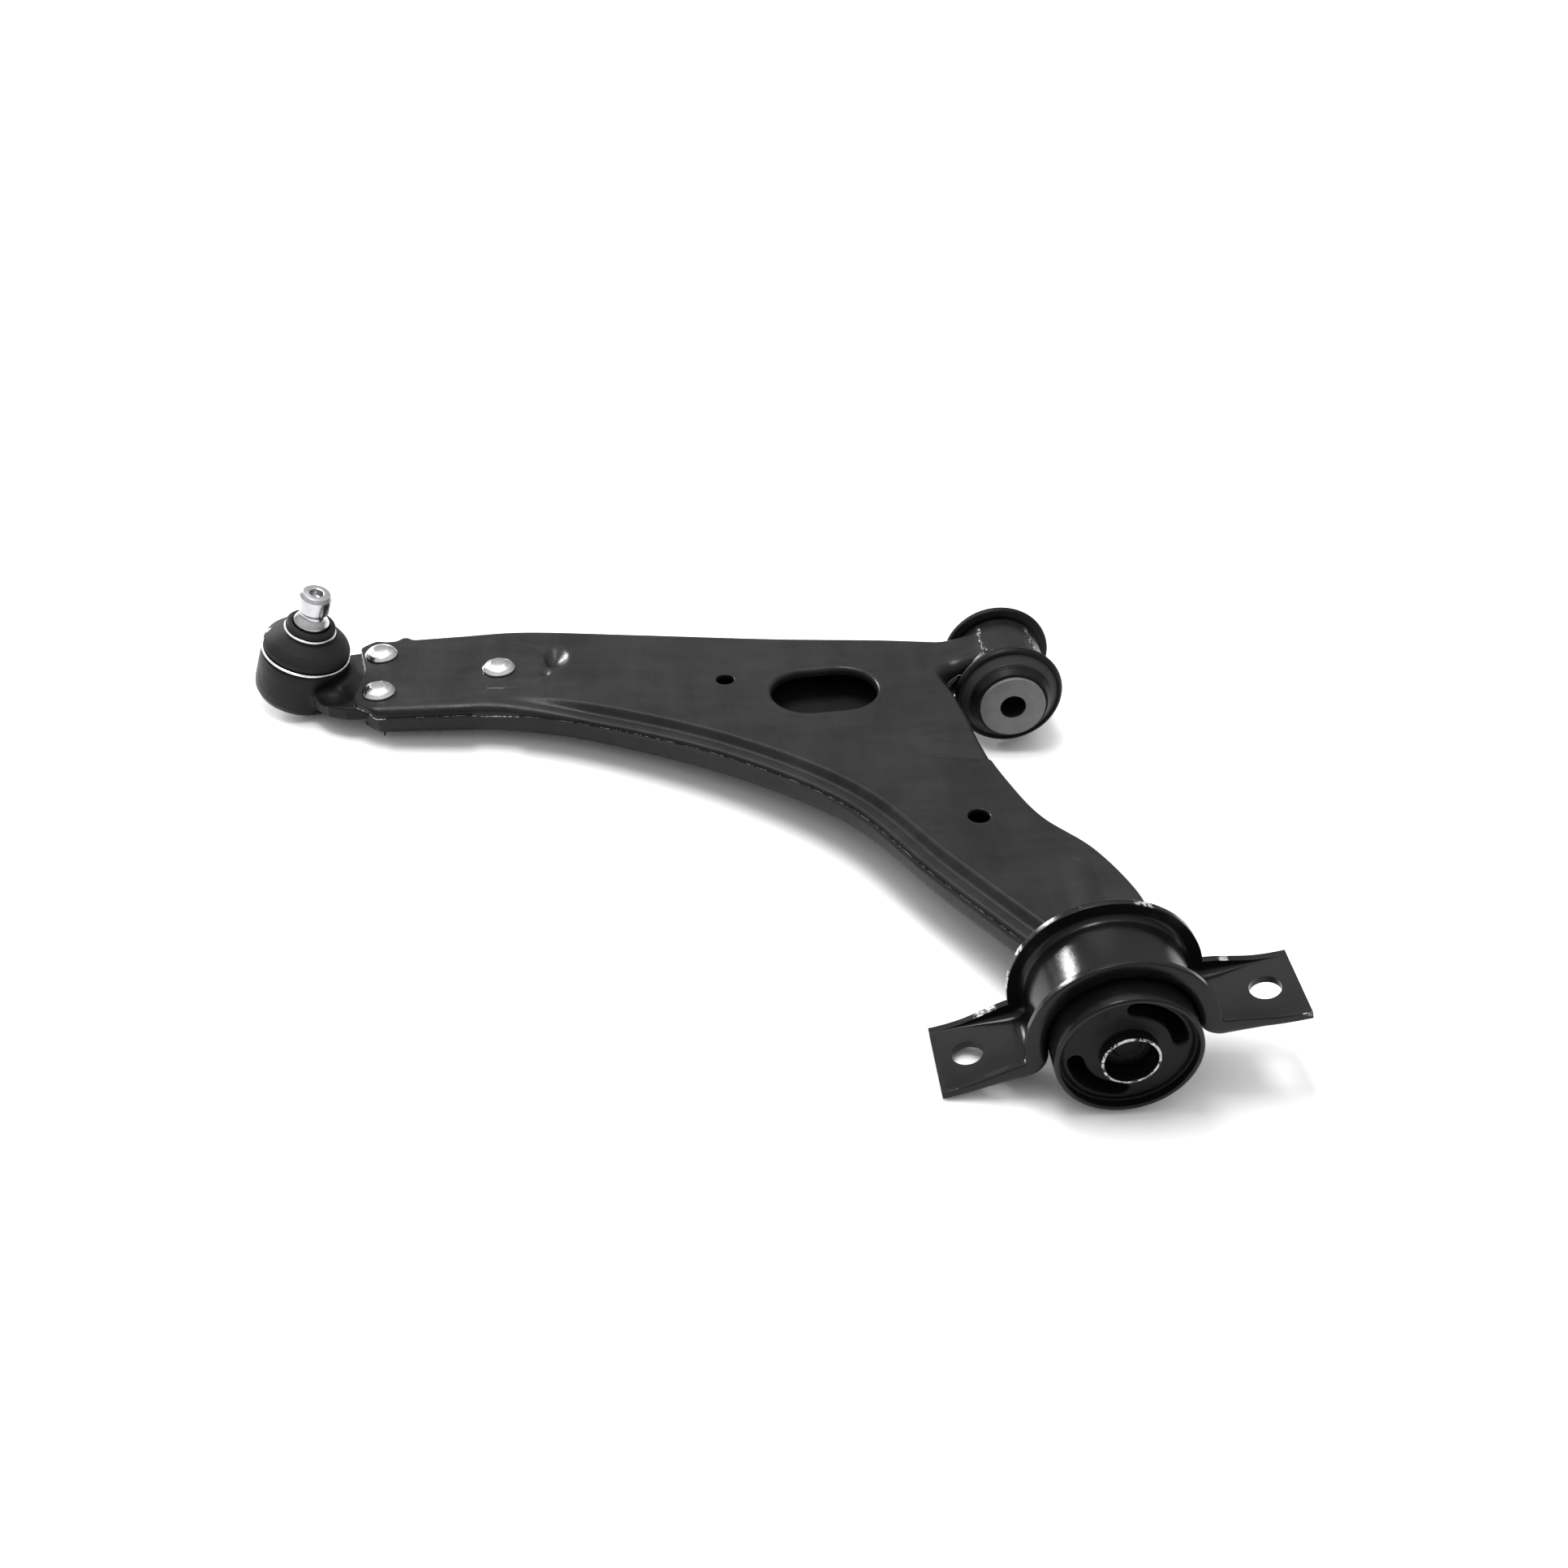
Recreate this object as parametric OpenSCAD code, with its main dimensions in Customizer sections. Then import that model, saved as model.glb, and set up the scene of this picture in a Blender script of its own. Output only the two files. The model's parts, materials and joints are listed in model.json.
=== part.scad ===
// Pressed-steel lower control arm with a riveted ball joint, a front bush in a
// welded eye and a rear bush held by a two-bolt saddle bracket.
// The origin is the centre of the front bush bore. +Y runs along the pivot axis
// from the rear bush to the front bush, the ball joint lies towards -X, +Z is up.

/* [Arm shells] */
// Thickness of the pressed sheet
sheet_t = 3; // [2.5:0.1:3.5]
// Height of the top panel over the pivot axis
top_z = 13.4; // [13:0.1:15]
// Height of the ledge that borders the top panel
ledge_z = 9; // [8.5:0.1:9.5]
// Width of that ledge on the outer curve
ledge_w = 9.5; // [8:0.5:11]
// Height of the sheared lower edge of the top shell
rim_z = 5.5; // [4:0.1:5.5]
// Depth of the lower panel below the pivot axis at the rear leg
belly_z = 11; // [10.5:0.1:12.5]
// Depth of the lower panel below the pivot axis at the ball joint end
nose_z = 5; // [4.5:0.1:6]

/* [Panel holes] */
// Radius of the small hole near the middle of the arm
mid_hole_r = 5.2; // [4:0.1:6]
// Radius of the small hole in the rear leg
leg_hole_r = 5.8; // [4:0.1:7]
// Half length of the large oval hole
oval_half_len = 30; // [26:1:34]
// Half width of the large oval hole
oval_half_w = 21; // [16:1:22]

/* [Front bush] */
// Length of the inner sleeve over its end faces
front_len = 72.5; // [70:0.5:76]
// Radius of the bolt bore
front_bore_r = 7.25; // [6.5:0.05:7.5]
// Radius of the end discs of the inner sleeve
front_disc_r = 18.75; // [18:0.25:19]
// Outer radius of the eye tube
eye_r = 25.3; // [25:0.1:26]
// Length of the eye tube
eye_len = 38; // [34:0.5:39]
// Radius of the rubber flanges
front_flange_r = 31.2; // [29:0.1:32]

/* [Rear bush] */
// Distance from the front bush centre to the bolt line of the rear bracket
rear_y = 285.5; // [280:0.5:290]
// Radius of the rear bush outer sleeve
rear_outer_r = 34.1; // [33.5:0.1:35]
// Length of the rear bush outer sleeve
rear_outer_len = 58; // [54:1:60]
// Radius of the pivot pin
pin_r = 12.15; // [12:0.05:12.3]

/* [Rear bracket] */
// Thickness of the saddle strap
strap_t = 4; // [3.5:0.1:4.5]
// Width of the saddle along the pivot axis
saddle_w = 43; // [40:1:46]
// Distance from the pivot axis to the end of each ear
ear_reach = 85.5; // [84:0.5:90]
// Distance between the two bolt holes
ear_hole_pitch = 140; // [134:1:144]
// Radius of the bolt holes
ear_hole_r = 7.5; // [6.5:0.1:8]
// Depth of the ears below the pivot axis
ear_drop = 9; // [8:0.5:12]
// Angle at which the bracket lies on the relaxed rubber
bracket_roll = 12.5; // [0:0.5:16]

/* [Ball joint] */
// Radius of the clamped part of the stud
stud_r = 9; // [8.5:0.05:9.5]
// Radius of the ball
ball_r = 13.5; // [13:0.1:14]
// Lean of the stud towards the pivot axis
stud_lean = 17; // [12:0.5:20]
// Lean of the stud towards the rear
stud_rake = 4; // [0:0.5:6]
// Height of the stud end over the lower boot ring
stud_top_h = 40.5; // [38:0.5:42]
// Radius of the rivet shanks
rivet_r = 5.5; // [5:0.1:6]

/* [Hidden] */
$fn = 96;

// Clearance of a running fit between a rubber bore and its sleeve
run_gap = 0.05;
// Clearance between parts of different bodies that don't touch
free_gap = 0.4;
// Length of a cutter that passes right through
through = 200;

// Height of the underside of the top panel, where the ball joint plate lies
plate_top_z = top_z - sheet_t;
plate_t = 8;
plate_low_z = plate_top_z - plate_t;

// Shells end here, towards the rear bush
shell_rear_y = -250;
// The pin starts here inside the shells
pin_front_y = -194;
pin_rear_y = -312;
bulge_r = pin_r + sheet_t;

// Centre of the lower boot ring, on the stud axis
ring_origin = [-397.5, 15.5, 26.5];
// Height of the ball centre below the lower boot ring
ball_drop = 14;

mid_hole = [-162, -14];
leg_hole = [-40.5, -153.5];
oval_hole = [-107, -29];
oval_turn = 4.5;
rivet_places = [[-358, 28.5], [-356, -11], [-290, 8]];

// Key points of the arm's edges. Smooth curves run through them.
near_keys = [[-357, -30], [-320, -30.5], [-285, -32], [-237, -45], [-167, -80],
             [-107, -129], [-70, -190], [-43, -232], [-31, shell_rear_y]];
leg_keys = [[28, shell_rear_y], [27, -221], [13, -184], [-8, -155], [-20, -122],
            [-28, -90], [-33, -64], [-39, -42], [-37, -25], [-31, -18]];
eye_keys = [[-12, -17], [-12, 17]];
far_keys = [[-33, 18], [-70, 23.5], [-132, 30], [-210, 41],
            [-275, 49.5], [-313, 48], [-345, 46]];
nose_keys = [[-362, 45], [-371, 37], [-366, 12], [-370, -13], [-369, -21]];
// Steps between two key points
curve_steps = 4;

// Catmull-Rom curve
function knot(p, i) = p[max(0, min(len(p) - 1, i))];
function spline_point(a, b, c, d, t) =
    0.5 * ((2 * b) + (c - a) * t + (2 * a - 5 * b + 4 * c - d) * t * t
           + (3 * b - a - 3 * c + d) * t * t * t);
function spline(p, n = curve_steps) =
    [for (i = [0 : len(p) - 2]) for (k = [0 : n - 1])
        spline_point(knot(p, i - 1), p[i], p[i + 1], knot(p, i + 2), k / n),
     p[len(p) - 1]];

// An outline moved inwards by w, for points that run counter-clockwise
function unit(v) = v / norm(v);
function turn_left(v) = [-v.y, v.x];
function inset_point(a, b, c, w) =
    let (n1 = turn_left(unit(b - a)), n2 = turn_left(unit(c - b)), m = unit(n1 + n2))
    b + m * w / max(0.5, m * n1);
function inset(p, w) =
    [for (i = [0 : len(p) - 1])
        inset_point(p[(i + len(p) - 1) % len(p)], p[i], p[(i + 1) % len(p)],
                    is_list(w) ? w[i] : w)];

near_curve = spline(near_keys);
arm_outline = concat(near_curve, spline(leg_keys), eye_keys, spline(far_keys), nose_keys);

// The ledge widens from nothing at the nose to its full width along the near edge
function ledge_share(x) = let (t = max(0, min(1, (x + 300) / 70))) t * t * (3 - 2 * t);
near_count = len(near_curve);
plateau_inset = [for (i = [0 : len(arm_outline) - 1])
    i < near_count ? 0.5 + (ledge_w - 0.5) * ledge_share(arm_outline[i].x) : 0.5];
plateau_outline = inset(arm_outline, plateau_inset);

// Along the pivot axis: the children's +Z points to +Y, their +X stays +X
module along_y(y = 0) {
    translate([0, y, 0]) rotate([-90, 0, 0]) children();
}

// The children's origin is the lower boot ring, their +Z is the stud axis
module on_stud_axis() {
    translate(ring_origin) rotate([stud_rake, stud_lean, 0]) children();
}

module tube(r_out, r_in, h) {
    difference() {
        cylinder(r = r_out, h = h);
        translate([0, 0, -1]) cylinder(r = r_in, h = h + 2);
    }
}

module oval_2d(half_len, half_w) {
    translate([half_w - half_len, 0]) circle(r = half_w);
    translate([half_len - half_w, 0]) circle(r = half_w);
    square([2 * (half_len - half_w), 2 * half_w], center = true);
}

// ---------- Arm shells ----------

// What both shells leave free: the eye tube, the pin and the rivet shanks
module shell_cutters() {
    along_y(-eye_len) cylinder(r = eye_r, h = 2 * eye_len);
    along_y(shell_rear_y - 1) cylinder(r = pin_r, h = pin_front_y - shell_rear_y + 1);
    for (p = rivet_places)
        translate([p.x, p.y, -through / 2]) cylinder(r = rivet_r, h = through);
}

// Half of the round bulge over the pin, for the upper (side 1) or lower shell
module pin_bulge(side) {
    intersection() {
        along_y(shell_rear_y) cylinder(r = bulge_r, h = pin_front_y - shell_rear_y);
        translate([0, 0, side * (top_z - sheet_t) + side * 10])
            cube([4 * bulge_r, 4 * through, 20], center = true);
    }
}

module top_panel_holes() {
    translate([mid_hole.x, mid_hole.y, 0]) cylinder(r = mid_hole_r, h = through);
    translate([leg_hole.x, leg_hole.y, 0]) cylinder(r = leg_hole_r, h = through);
    translate([oval_hole.x, oval_hole.y, 0]) rotate([0, 0, oval_turn])
        linear_extrude(through) oval_2d(oval_half_len, oval_half_w);
}

module top_shell() {
    color("#1b1b1c") difference() {
        union() {
            difference() {
                union() {
                    translate([0, 0, rim_z])
                        linear_extrude(ledge_z - rim_z) polygon(arm_outline);
                    translate([0, 0, rim_z])
                        linear_extrude(top_z - rim_z) polygon(plateau_outline);
                }
                translate([0, 0, rim_z - 1]) linear_extrude(ledge_z - sheet_t - rim_z + 1)
                    polygon(inset(arm_outline, sheet_t));
                translate([0, 0, rim_z - 1]) linear_extrude(plate_top_z - rim_z + 1)
                    polygon(inset(plateau_outline, sheet_t));
            }
            pin_bulge(1);
        }
        shell_cutters();
        top_panel_holes();
        nose_opening(rim_z - 1, plate_top_z);
    }
}

// Side view of the lower shell's outside, moved inwards by w
module belly_profile(w) {
    rotate([90, 0, 0]) linear_extrude(4 * through, center = true)
        polygon([[-380, -nose_z + w], [-150, -belly_z + w], [60, -belly_z + w],
                 [60, top_z + 20], [-380, top_z + 20]]);
}

// The lower shell's outside (w = 0) or its hollow (w = sheet_t), up to height z1
module bottom_body(w, z1) {
    intersection() {
        translate([0, 0, -30]) linear_extrude(30 + z1)
            polygon(inset(arm_outline, sheet_t + w));
        belly_profile(w);
    }
}

// The pressed-up seat that the ball joint plate lies on
module plate_seat(w, z0, z1) {
    translate([-374 - w, -22.5 - w, z0]) cube([110 + 2 * w, 63.5 + 2 * w, z1 - z0]);
}

// The open nose of the shells, where the ball joint plate enters
module nose_opening(z0, z1) {
    translate([-400, -24, z0]) cube([60, 66, z1 - z0]);
}

module bottom_shell() {
    color("#1b1b1c") difference() {
        union() {
            difference() {
                bottom_body(0, ledge_z - sheet_t);
                bottom_body(sheet_t, top_z);
            }
            intersection() {
                bottom_body(1, top_z);
                plate_seat(0, -30, plate_low_z);
            }
            pin_bulge(-1);
        }
        plate_seat(-sheet_t, -40, plate_low_z - sheet_t);
        shell_cutters();
        nose_opening(plate_low_z, top_z);
    }
}

// ---------- Front eye and bush ----------

module front_eye_tube() {
    color("#1d1d1e") along_y(-eye_len / 2) tube(eye_r, eye_r - 3, eye_len);
}

// Fillet bead where a shell meets the tube, on the upper or the lower side
module eye_weld(side) {
    bead_r = 3.4;
    z = side > 0 ? top_z : belly_z;
    x = -sqrt(eye_r * eye_r - z * z);
    difference() {
        translate([x - 0.4, 0, side * z]) along_y(-15) cylinder(r = bead_r, h = 30);
        along_y(-eye_len) cylinder(r = eye_r, h = 2 * eye_len);
        translate([x, 0, side * (z - 10)]) cube([40, 80, 20], center = true);
    }
}

module front_eye_welds() {
    color("#2b2b2c") {
        eye_weld(1);
        eye_weld(-1);
    }
}

front_sleeve_r = eye_r - 3;
front_core_r = 14;
front_rubber_bore = front_core_r + run_gap;

module front_bush_outer_sleeve() {
    color("#2a2a2b") along_y(-eye_len / 2)
        tube(front_sleeve_r, front_sleeve_r - 2, eye_len);
}

// Half profile of the rubber: radius across, distance from the middle upwards
function rubber_half() =
    let (s = eye_len / 2, e = front_len / 2, d = front_disc_r + free_gap)
    [[front_sleeve_r - 2, 0], [front_sleeve_r - 2, s], [front_flange_r - 3, s],
     [front_flange_r - 0.6, s + 1.2], [front_flange_r, s + 3.5],
     [front_flange_r - 0.8, s + 6.6], [front_flange_r - 3.4, s + 8],
     [front_flange_r - 6.5, s + 9.6], [front_disc_r + 4.2, e - 5],
     [front_disc_r + 3, e - 1.6], [front_disc_r + 1.6, e - 0.8], [d, e - 1.6],
     [d, e - 5.5 - free_gap], [front_rubber_bore, e - 5.5 - free_gap]];

module front_bush_rubber() {
    half = rubber_half();
    profile = concat(half, [for (i = [len(half) - 1 : -1 : 1]) [half[i].x, -half[i].y]]);
    color("#141414") along_y() rotate_extrude() polygon(profile);
}

module front_bush_core() {
    e = front_len / 2;
    color("#6f7070") along_y() rotate_extrude() polygon([
        [front_bore_r, -e], [front_disc_r - 0.6, -e], [front_disc_r, -e + 0.6],
        [front_disc_r, -e + 5.5], [front_core_r, -e + 5.5],
        [front_core_r, e - 5.5], [front_disc_r, e - 5.5],
        [front_disc_r, e - 0.6], [front_disc_r - 0.6, e], [front_bore_r, e]]);
}

// ---------- Pin, rear bush and bracket ----------

rear_face_y = -rear_y - 33;
rear_sleeve_r = 13.6;
rear_rubber_bore = rear_sleeve_r + run_gap;
rear_rubber_r = rear_outer_r - 2.5;
rear_sleeve_face_y = rear_face_y - 3;

module pivot_pin() {
    color("#303031") along_y(pin_rear_y) cylinder(r = pin_r, h = pin_front_y - pin_rear_y);
}

module pivot_pin_weld() {
    color("#2b2b2c") along_y(shell_rear_y) rotate_extrude()
        polygon([[pin_r, 0], [pin_r + 2.8, 0], [pin_r + 2.4, -1.6],
                 [pin_r + 1.4, -2.6], [pin_r, -3]]);
}

module rear_bush_inner_sleeve() {
    color("#3a3a3b") along_y(rear_sleeve_face_y) tube(rear_sleeve_r, pin_r, 62);
}

// One of the two kidney-shaped voids, centred on the given angle
module kidney(angle) {
    half_turn = 38;
    r_mid = 24;
    half_w = 3.6;
    function polar(r, a, c = [0, 0]) = c + r * [cos(a), sin(a)];
    function end_arc(a, from) =
        [for (k = [0 : 5]) polar(half_w, from + 36 * k, polar(r_mid, a))];
    rotate([0, 0, angle]) polygon(concat(
        end_arc(half_turn, half_turn),
        [for (a = [half_turn - 8 : -10 : 8 - half_turn]) polar(r_mid - half_w, a)],
        end_arc(-half_turn, 180 - half_turn),
        [for (a = [8 - half_turn : 10 : half_turn - 8]) polar(r_mid + half_w, a)]));
}

module rear_bush_rubber() {
    color("#131313") rotate([0, -bracket_roll, 0]) along_y(rear_face_y + 4)
        linear_extrude(rear_outer_len - 8) difference() {
            circle(r = rear_rubber_r);
            circle(r = rear_rubber_bore);
            kidney(-38);
            kidney(142);
        }
}

module rear_bush_outer_sleeve() {
    color("#18181a") along_y(rear_face_y) tube(rear_outer_r, rear_rubber_r, rear_outer_len);
}

// Saddle seen along the pivot axis. The strap is t thick and its outside is
// raised by lift, which draws the stiffening flanges.
module saddle_2d(lift) {
    outer = rear_outer_r + strap_t + lift;
    ear_top = -ear_drop + lift;
    ear_low = -ear_drop - strap_t;
    difference() {
        union() {
            intersection() {
                circle(r = outer);
                translate([-outer, ear_low]) square([2 * outer, 2 * outer]);
            }
            if (lift == 0)
                translate([-ear_reach, ear_low]) square([2 * ear_reach, strap_t]);
            else
                polygon([[-ear_reach, ear_low], [ear_reach, ear_low],
                         [ear_reach, ear_low + strap_t], [ear_reach - 12, ear_low + strap_t],
                         [outer + 2, ear_top], [-outer - 2, ear_top],
                         [12 - ear_reach, ear_low + strap_t], [-ear_reach, ear_low + strap_t]]);
            for (s = [-1, 1])
                translate([s * (outer - 1), ear_top]) corner_2d(s, 6);
        }
        circle(r = rear_outer_r);
    }
}

// Concave corner of radius r between the arch and an ear
module corner_2d(side, r) {
    difference() {
        translate([side > 0 ? -1 : -r, 0]) square([r + 1, r]);
        translate([side * r, r]) circle(r = r);
    }
}

module rear_bracket() {
    flange_t = 3;
    far_lift = 7.5;
    near_lift = 6.5;
    color("#1a1a1b") rotate([0, -bracket_roll, 0]) difference() {
        union() {
            along_y(-rear_y - saddle_w / 2) mirror([0, 1, 0])
                linear_extrude(saddle_w) saddle_2d(0);
            along_y(-rear_y + saddle_w / 2 - flange_t) mirror([0, 1, 0])
                linear_extrude(flange_t) saddle_2d(far_lift);
            along_y(-rear_y - saddle_w / 2) mirror([0, 1, 0])
                linear_extrude(flange_t) saddle_2d(near_lift);
        }
        for (s = [-1, 1])
            translate([s * ear_hole_pitch / 2, -rear_y, -60]) cylinder(r = ear_hole_r, h = 60);
    }
}

// ---------- Ball joint ----------

housing_neck_r = 20.8;
housing_bore_r = 17.5;
housing_low_h = -31;
cap_t = 2.5;

module ball_joint_housing() {
    color("#1c1c1d") difference() {
        union() {
            on_stud_axis() rotate_extrude() polygon([
                [0, housing_low_h], [19.5, housing_low_h], [22.6, housing_low_h + 1.6],
                [24.5, housing_low_h + 5], [25, housing_low_h + 10], [24.8, -7],
                [24.4, -2.4], [23.4, -1.4], [housing_neck_r, -1.4], [housing_neck_r, 2],
                [0, 2]]);
            // Plate that the two shells hold
            translate([0, 0, plate_low_z]) linear_extrude(plate_t) polygon(concat(
                [[-280, 8 - 14], [-276, 8 - 8], [-276, 8 + 8], [-280, 8 + 14]],
                [[-345, 39], [-368, 38], [-388, 34], [-392, 15], [-388, -6],
                 [-368, -22], [-345, -22.5]]));
        }
        on_stud_axis() {
            translate([0, 0, housing_low_h - 1]) cylinder(r = housing_bore_r, h = -6 - housing_low_h);
            translate([0, 0, -8]) cylinder(r = 15, h = 20);
            translate([0, 0, -4]) rotate_extrude()
                polygon([[0, -3], [14.4, -3], [19.4, 6.5], [0, 6.5]]);
        }
        for (p = rivet_places)
            translate([p.x, p.y, 0]) cylinder(r = rivet_r, h = 30);
    }
}

module housing_cap() {
    color("#b9bcbe") on_stud_axis() translate([0, 0, housing_low_h]) rotate_extrude()
        polygon([[0, -1.8], [4.5, -1.8], [6, 0], [housing_bore_r, 0],
                 [housing_bore_r, cap_t], [0, cap_t]]);
}

module ball_seat() {
    h0 = housing_low_h + cap_t;
    color("#d8d4c8") on_stud_axis() difference() {
        translate([0, 0, h0]) cylinder(r = housing_bore_r, h = -7 - h0);
        translate([0, 0, -ball_drop]) sphere(r = ball_r + run_gap);
        translate([0, 0, -ball_drop]) cylinder(r = 11.2, h = 20);
    }
}

module ball_stud() {
    h = stud_top_h;
    color("#c9cccf") on_stud_axis() difference() {
        union() {
            translate([0, 0, -ball_drop]) sphere(r = ball_r);
            rotate_extrude() polygon([
                [0, -ball_drop], [7.2, -ball_drop], [7.2, 0], [8.2, 12], [9.2, 17.5],
                [9.7, 19.6], [9.7, 21.6], [8.6, 23.4], [6.9, 25.4], [6.5, 26.6],
                [6.7, 27.8], [stud_r - 0.7, 28.8], [stud_r, 29.4], [stud_r, h - 1.6],
                [stud_r - 1.4, h], [0, h]]);
        }
        translate([0, 0, h - 4]) cylinder(r = 3.1, h = 6, $fn = 6);
        translate([0, 0, -ball_drop - ball_r - 1]) cylinder(r = 5, h = 1.8);
    }
}

module dust_boot() {
    color("#121212") on_stud_axis() rotate_extrude() polygon([
        [housing_neck_r + 0.3, -1], [22.8, -1], [22.8, 1], [23.7, 2.2], [23.8, 4.2],
        [22.9, 6.6], [20.5, 9.2], [16.8, 11.8], [13.8, 13.6], [12.4, 14.8],
        [12.4, 16.2], [13.6, 17], [13.4, 19], [11.4, 19.8], [10.2, 19.6],
        [10.2, 14], [12.8, 12.2], [17.6, 8.6], [20.8, 6], [21.8, 4.2],
        [21.4, 3], [housing_neck_r + 0.3, 2.2]]);
}

// Wire ring of wire radius 0.8 round the boot
module wire_ring(r, h) {
    on_stud_axis() translate([0, 0, h]) rotate_extrude()
        translate([r, 0]) circle(r = 0.8, $fn = 32);
}

module boot_ring_lower() {
    color("#d4d6d8") wire_ring(23.9, 0);
}

module boot_ring_upper() {
    color("#d4d6d8") wire_ring(13.6, 15.6);
}

// ---------- Rivets ----------

// Domed cap of base radius r and height h on the plane z = 0
module dome(r, h) {
    big = (r * r + h * h) / (2 * h);
    intersection() {
        translate([0, 0, h - big]) sphere(r = big);
        translate([-r, -r, 0]) cube([2 * r, 2 * r, h + 1]);
    }
}

module rivets() {
    color("#cfd2d4") for (p = rivet_places) translate([p.x, p.y, 0]) {
        translate([0, 0, plate_low_z - sheet_t])
            cylinder(r = rivet_r, h = top_z - plate_low_z + sheet_t);
        translate([0, 0, top_z]) dome(9.3, 4.6);
        translate([0, 0, plate_low_z - sheet_t]) mirror([0, 0, 1]) dome(8, 3.4);
    }
}

top_shell();
bottom_shell();
front_eye_tube();
front_eye_welds();
front_bush_outer_sleeve();
front_bush_rubber();
front_bush_core();
pivot_pin();
pivot_pin_weld();
rear_bush_inner_sleeve();
rear_bush_rubber();
rear_bush_outer_sleeve();
rear_bracket();
ball_joint_housing();
housing_cap();
ball_seat();
ball_stud();
dust_boot();
boot_ring_lower();
boot_ring_upper();
rivets();
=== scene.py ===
"""Looks of a pressed-steel lower control arm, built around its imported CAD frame.

Every length in the shape code is in millimetres, in the frame's own axes, and
becomes metres when a piece is made.
"""
import json
import math

import bpy
import numpy as np
from mathutils import Matrix, Vector
from mathutils.geometry import delaunay_2d_cdt
from mathutils.kdtree import KDTree


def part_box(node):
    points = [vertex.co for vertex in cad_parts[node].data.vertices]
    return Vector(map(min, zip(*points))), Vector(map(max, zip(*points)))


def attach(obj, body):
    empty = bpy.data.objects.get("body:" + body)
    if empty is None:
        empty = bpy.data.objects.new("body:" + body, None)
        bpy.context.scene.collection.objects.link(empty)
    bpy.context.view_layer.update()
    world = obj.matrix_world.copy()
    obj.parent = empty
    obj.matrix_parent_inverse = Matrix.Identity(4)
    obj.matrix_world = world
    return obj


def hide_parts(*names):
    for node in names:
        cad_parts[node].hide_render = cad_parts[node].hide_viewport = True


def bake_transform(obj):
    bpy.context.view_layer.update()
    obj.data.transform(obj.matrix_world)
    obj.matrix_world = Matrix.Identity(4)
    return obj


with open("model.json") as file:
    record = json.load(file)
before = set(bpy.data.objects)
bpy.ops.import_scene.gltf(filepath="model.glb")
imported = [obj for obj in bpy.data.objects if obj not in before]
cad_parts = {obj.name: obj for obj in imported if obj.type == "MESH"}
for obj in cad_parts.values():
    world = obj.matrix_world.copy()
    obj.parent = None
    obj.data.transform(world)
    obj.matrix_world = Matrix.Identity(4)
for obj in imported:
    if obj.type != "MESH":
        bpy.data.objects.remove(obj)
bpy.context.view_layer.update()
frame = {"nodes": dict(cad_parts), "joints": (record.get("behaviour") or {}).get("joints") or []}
MM = 0.001


# ---------- Facts read from the frame ----------

def cad_box(node):
    low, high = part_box(node)
    return np.array(low) / MM, np.array(high) / MM


def joint(name):
    return next(j for j in frame["joints"] if j["name"] == name)


def cad_loops(node, axis, level):
    """Closed outlines of the node's flat faces at that level along an axis, longest first."""
    mesh = frame["nodes"][node].data
    mesh.calc_loop_triangles()
    points = np.array([v.co for v in mesh.vertices]) / MM
    triangles = np.array([t.vertices for t in mesh.loop_triangles])
    points, same = np.unique(points.round(2), axis=0, return_inverse=True)
    triangles = same.reshape(-1)[triangles]
    flat = triangles[(abs(points[triangles][:, :, axis] - level) < 0.03).all(axis=1)]
    edges = {(a, b) for t in flat for a, b in ((t[0], t[1]), (t[1], t[2]), (t[2], t[0]))}
    following = {a: b for a, b in edges if (b, a) not in edges}
    loops = []
    while following:
        start, here = next(iter(following.items()))
        del following[start]
        loop = [start]
        while here != start and here in following:
            loop.append(here)
            here = following.pop(here)
        loops.append(np.delete(points[loop], axis, axis=1))
    return sorted(loops, key=loop_length, reverse=True)


def loop_length(loop):
    return np.linalg.norm(np.roll(loop, -1, axis=0) - loop, axis=1).sum()


# ---------- Plane curves ----------

def smooth(t):
    t = np.clip(t, 0, 1)
    return t * t * (3 - 2 * t)


def unit(angles):
    """Unit vectors at angles from the X axis."""
    return np.stack([np.cos(angles), np.sin(angles)], -1)


def counter_clockwise(loop):
    x, y = loop[:, 0], loop[:, 1]
    area = (x * np.roll(y, -1) - np.roll(x, -1) * y).sum()
    return loop if area > 0 else loop[::-1]


def even(loop, step):
    """Points a step apart along a closed polyline."""
    closed = np.vstack([loop, loop[:1]])
    along = np.r_[0, np.cumsum(np.linalg.norm(np.diff(closed, axis=0), axis=1))]
    count = max(12, round(along[-1] / step))
    places = np.arange(count) * along[-1] / count
    return np.stack([np.interp(places, along, closed[:, k]) for k in (0, 1)], 1)


def relax(loop, passes):
    for _ in range(passes):
        loop = (np.roll(loop, 1, 0) + 2 * loop + np.roll(loop, -1, 0)) / 4
    return loop


def inward(loop):
    """Unit normals that point into a counter-clockwise loop."""
    ahead = np.roll(loop, -1, 0) - np.roll(loop, 1, 0)
    ahead /= np.linalg.norm(ahead, axis=1)[:, None]
    return np.stack([-ahead[:, 1], ahead[:, 0]], 1)


def distance_to(points, line, closed=True):
    """Distance of each point from a polyline."""
    ends = np.roll(line, -1, 0) if closed else line[1:]
    starts = line if closed else line[:-1]
    best = np.full(len(points), 1e9)
    for a, b in zip(starts, ends):
        ab = b - a
        t = np.clip(((points - a) @ ab) / max(ab @ ab, 1e-12), 0, 1)
        best = np.minimum(best, np.hypot(*(points - a - t[:, None] * ab).T))
    return best


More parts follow.
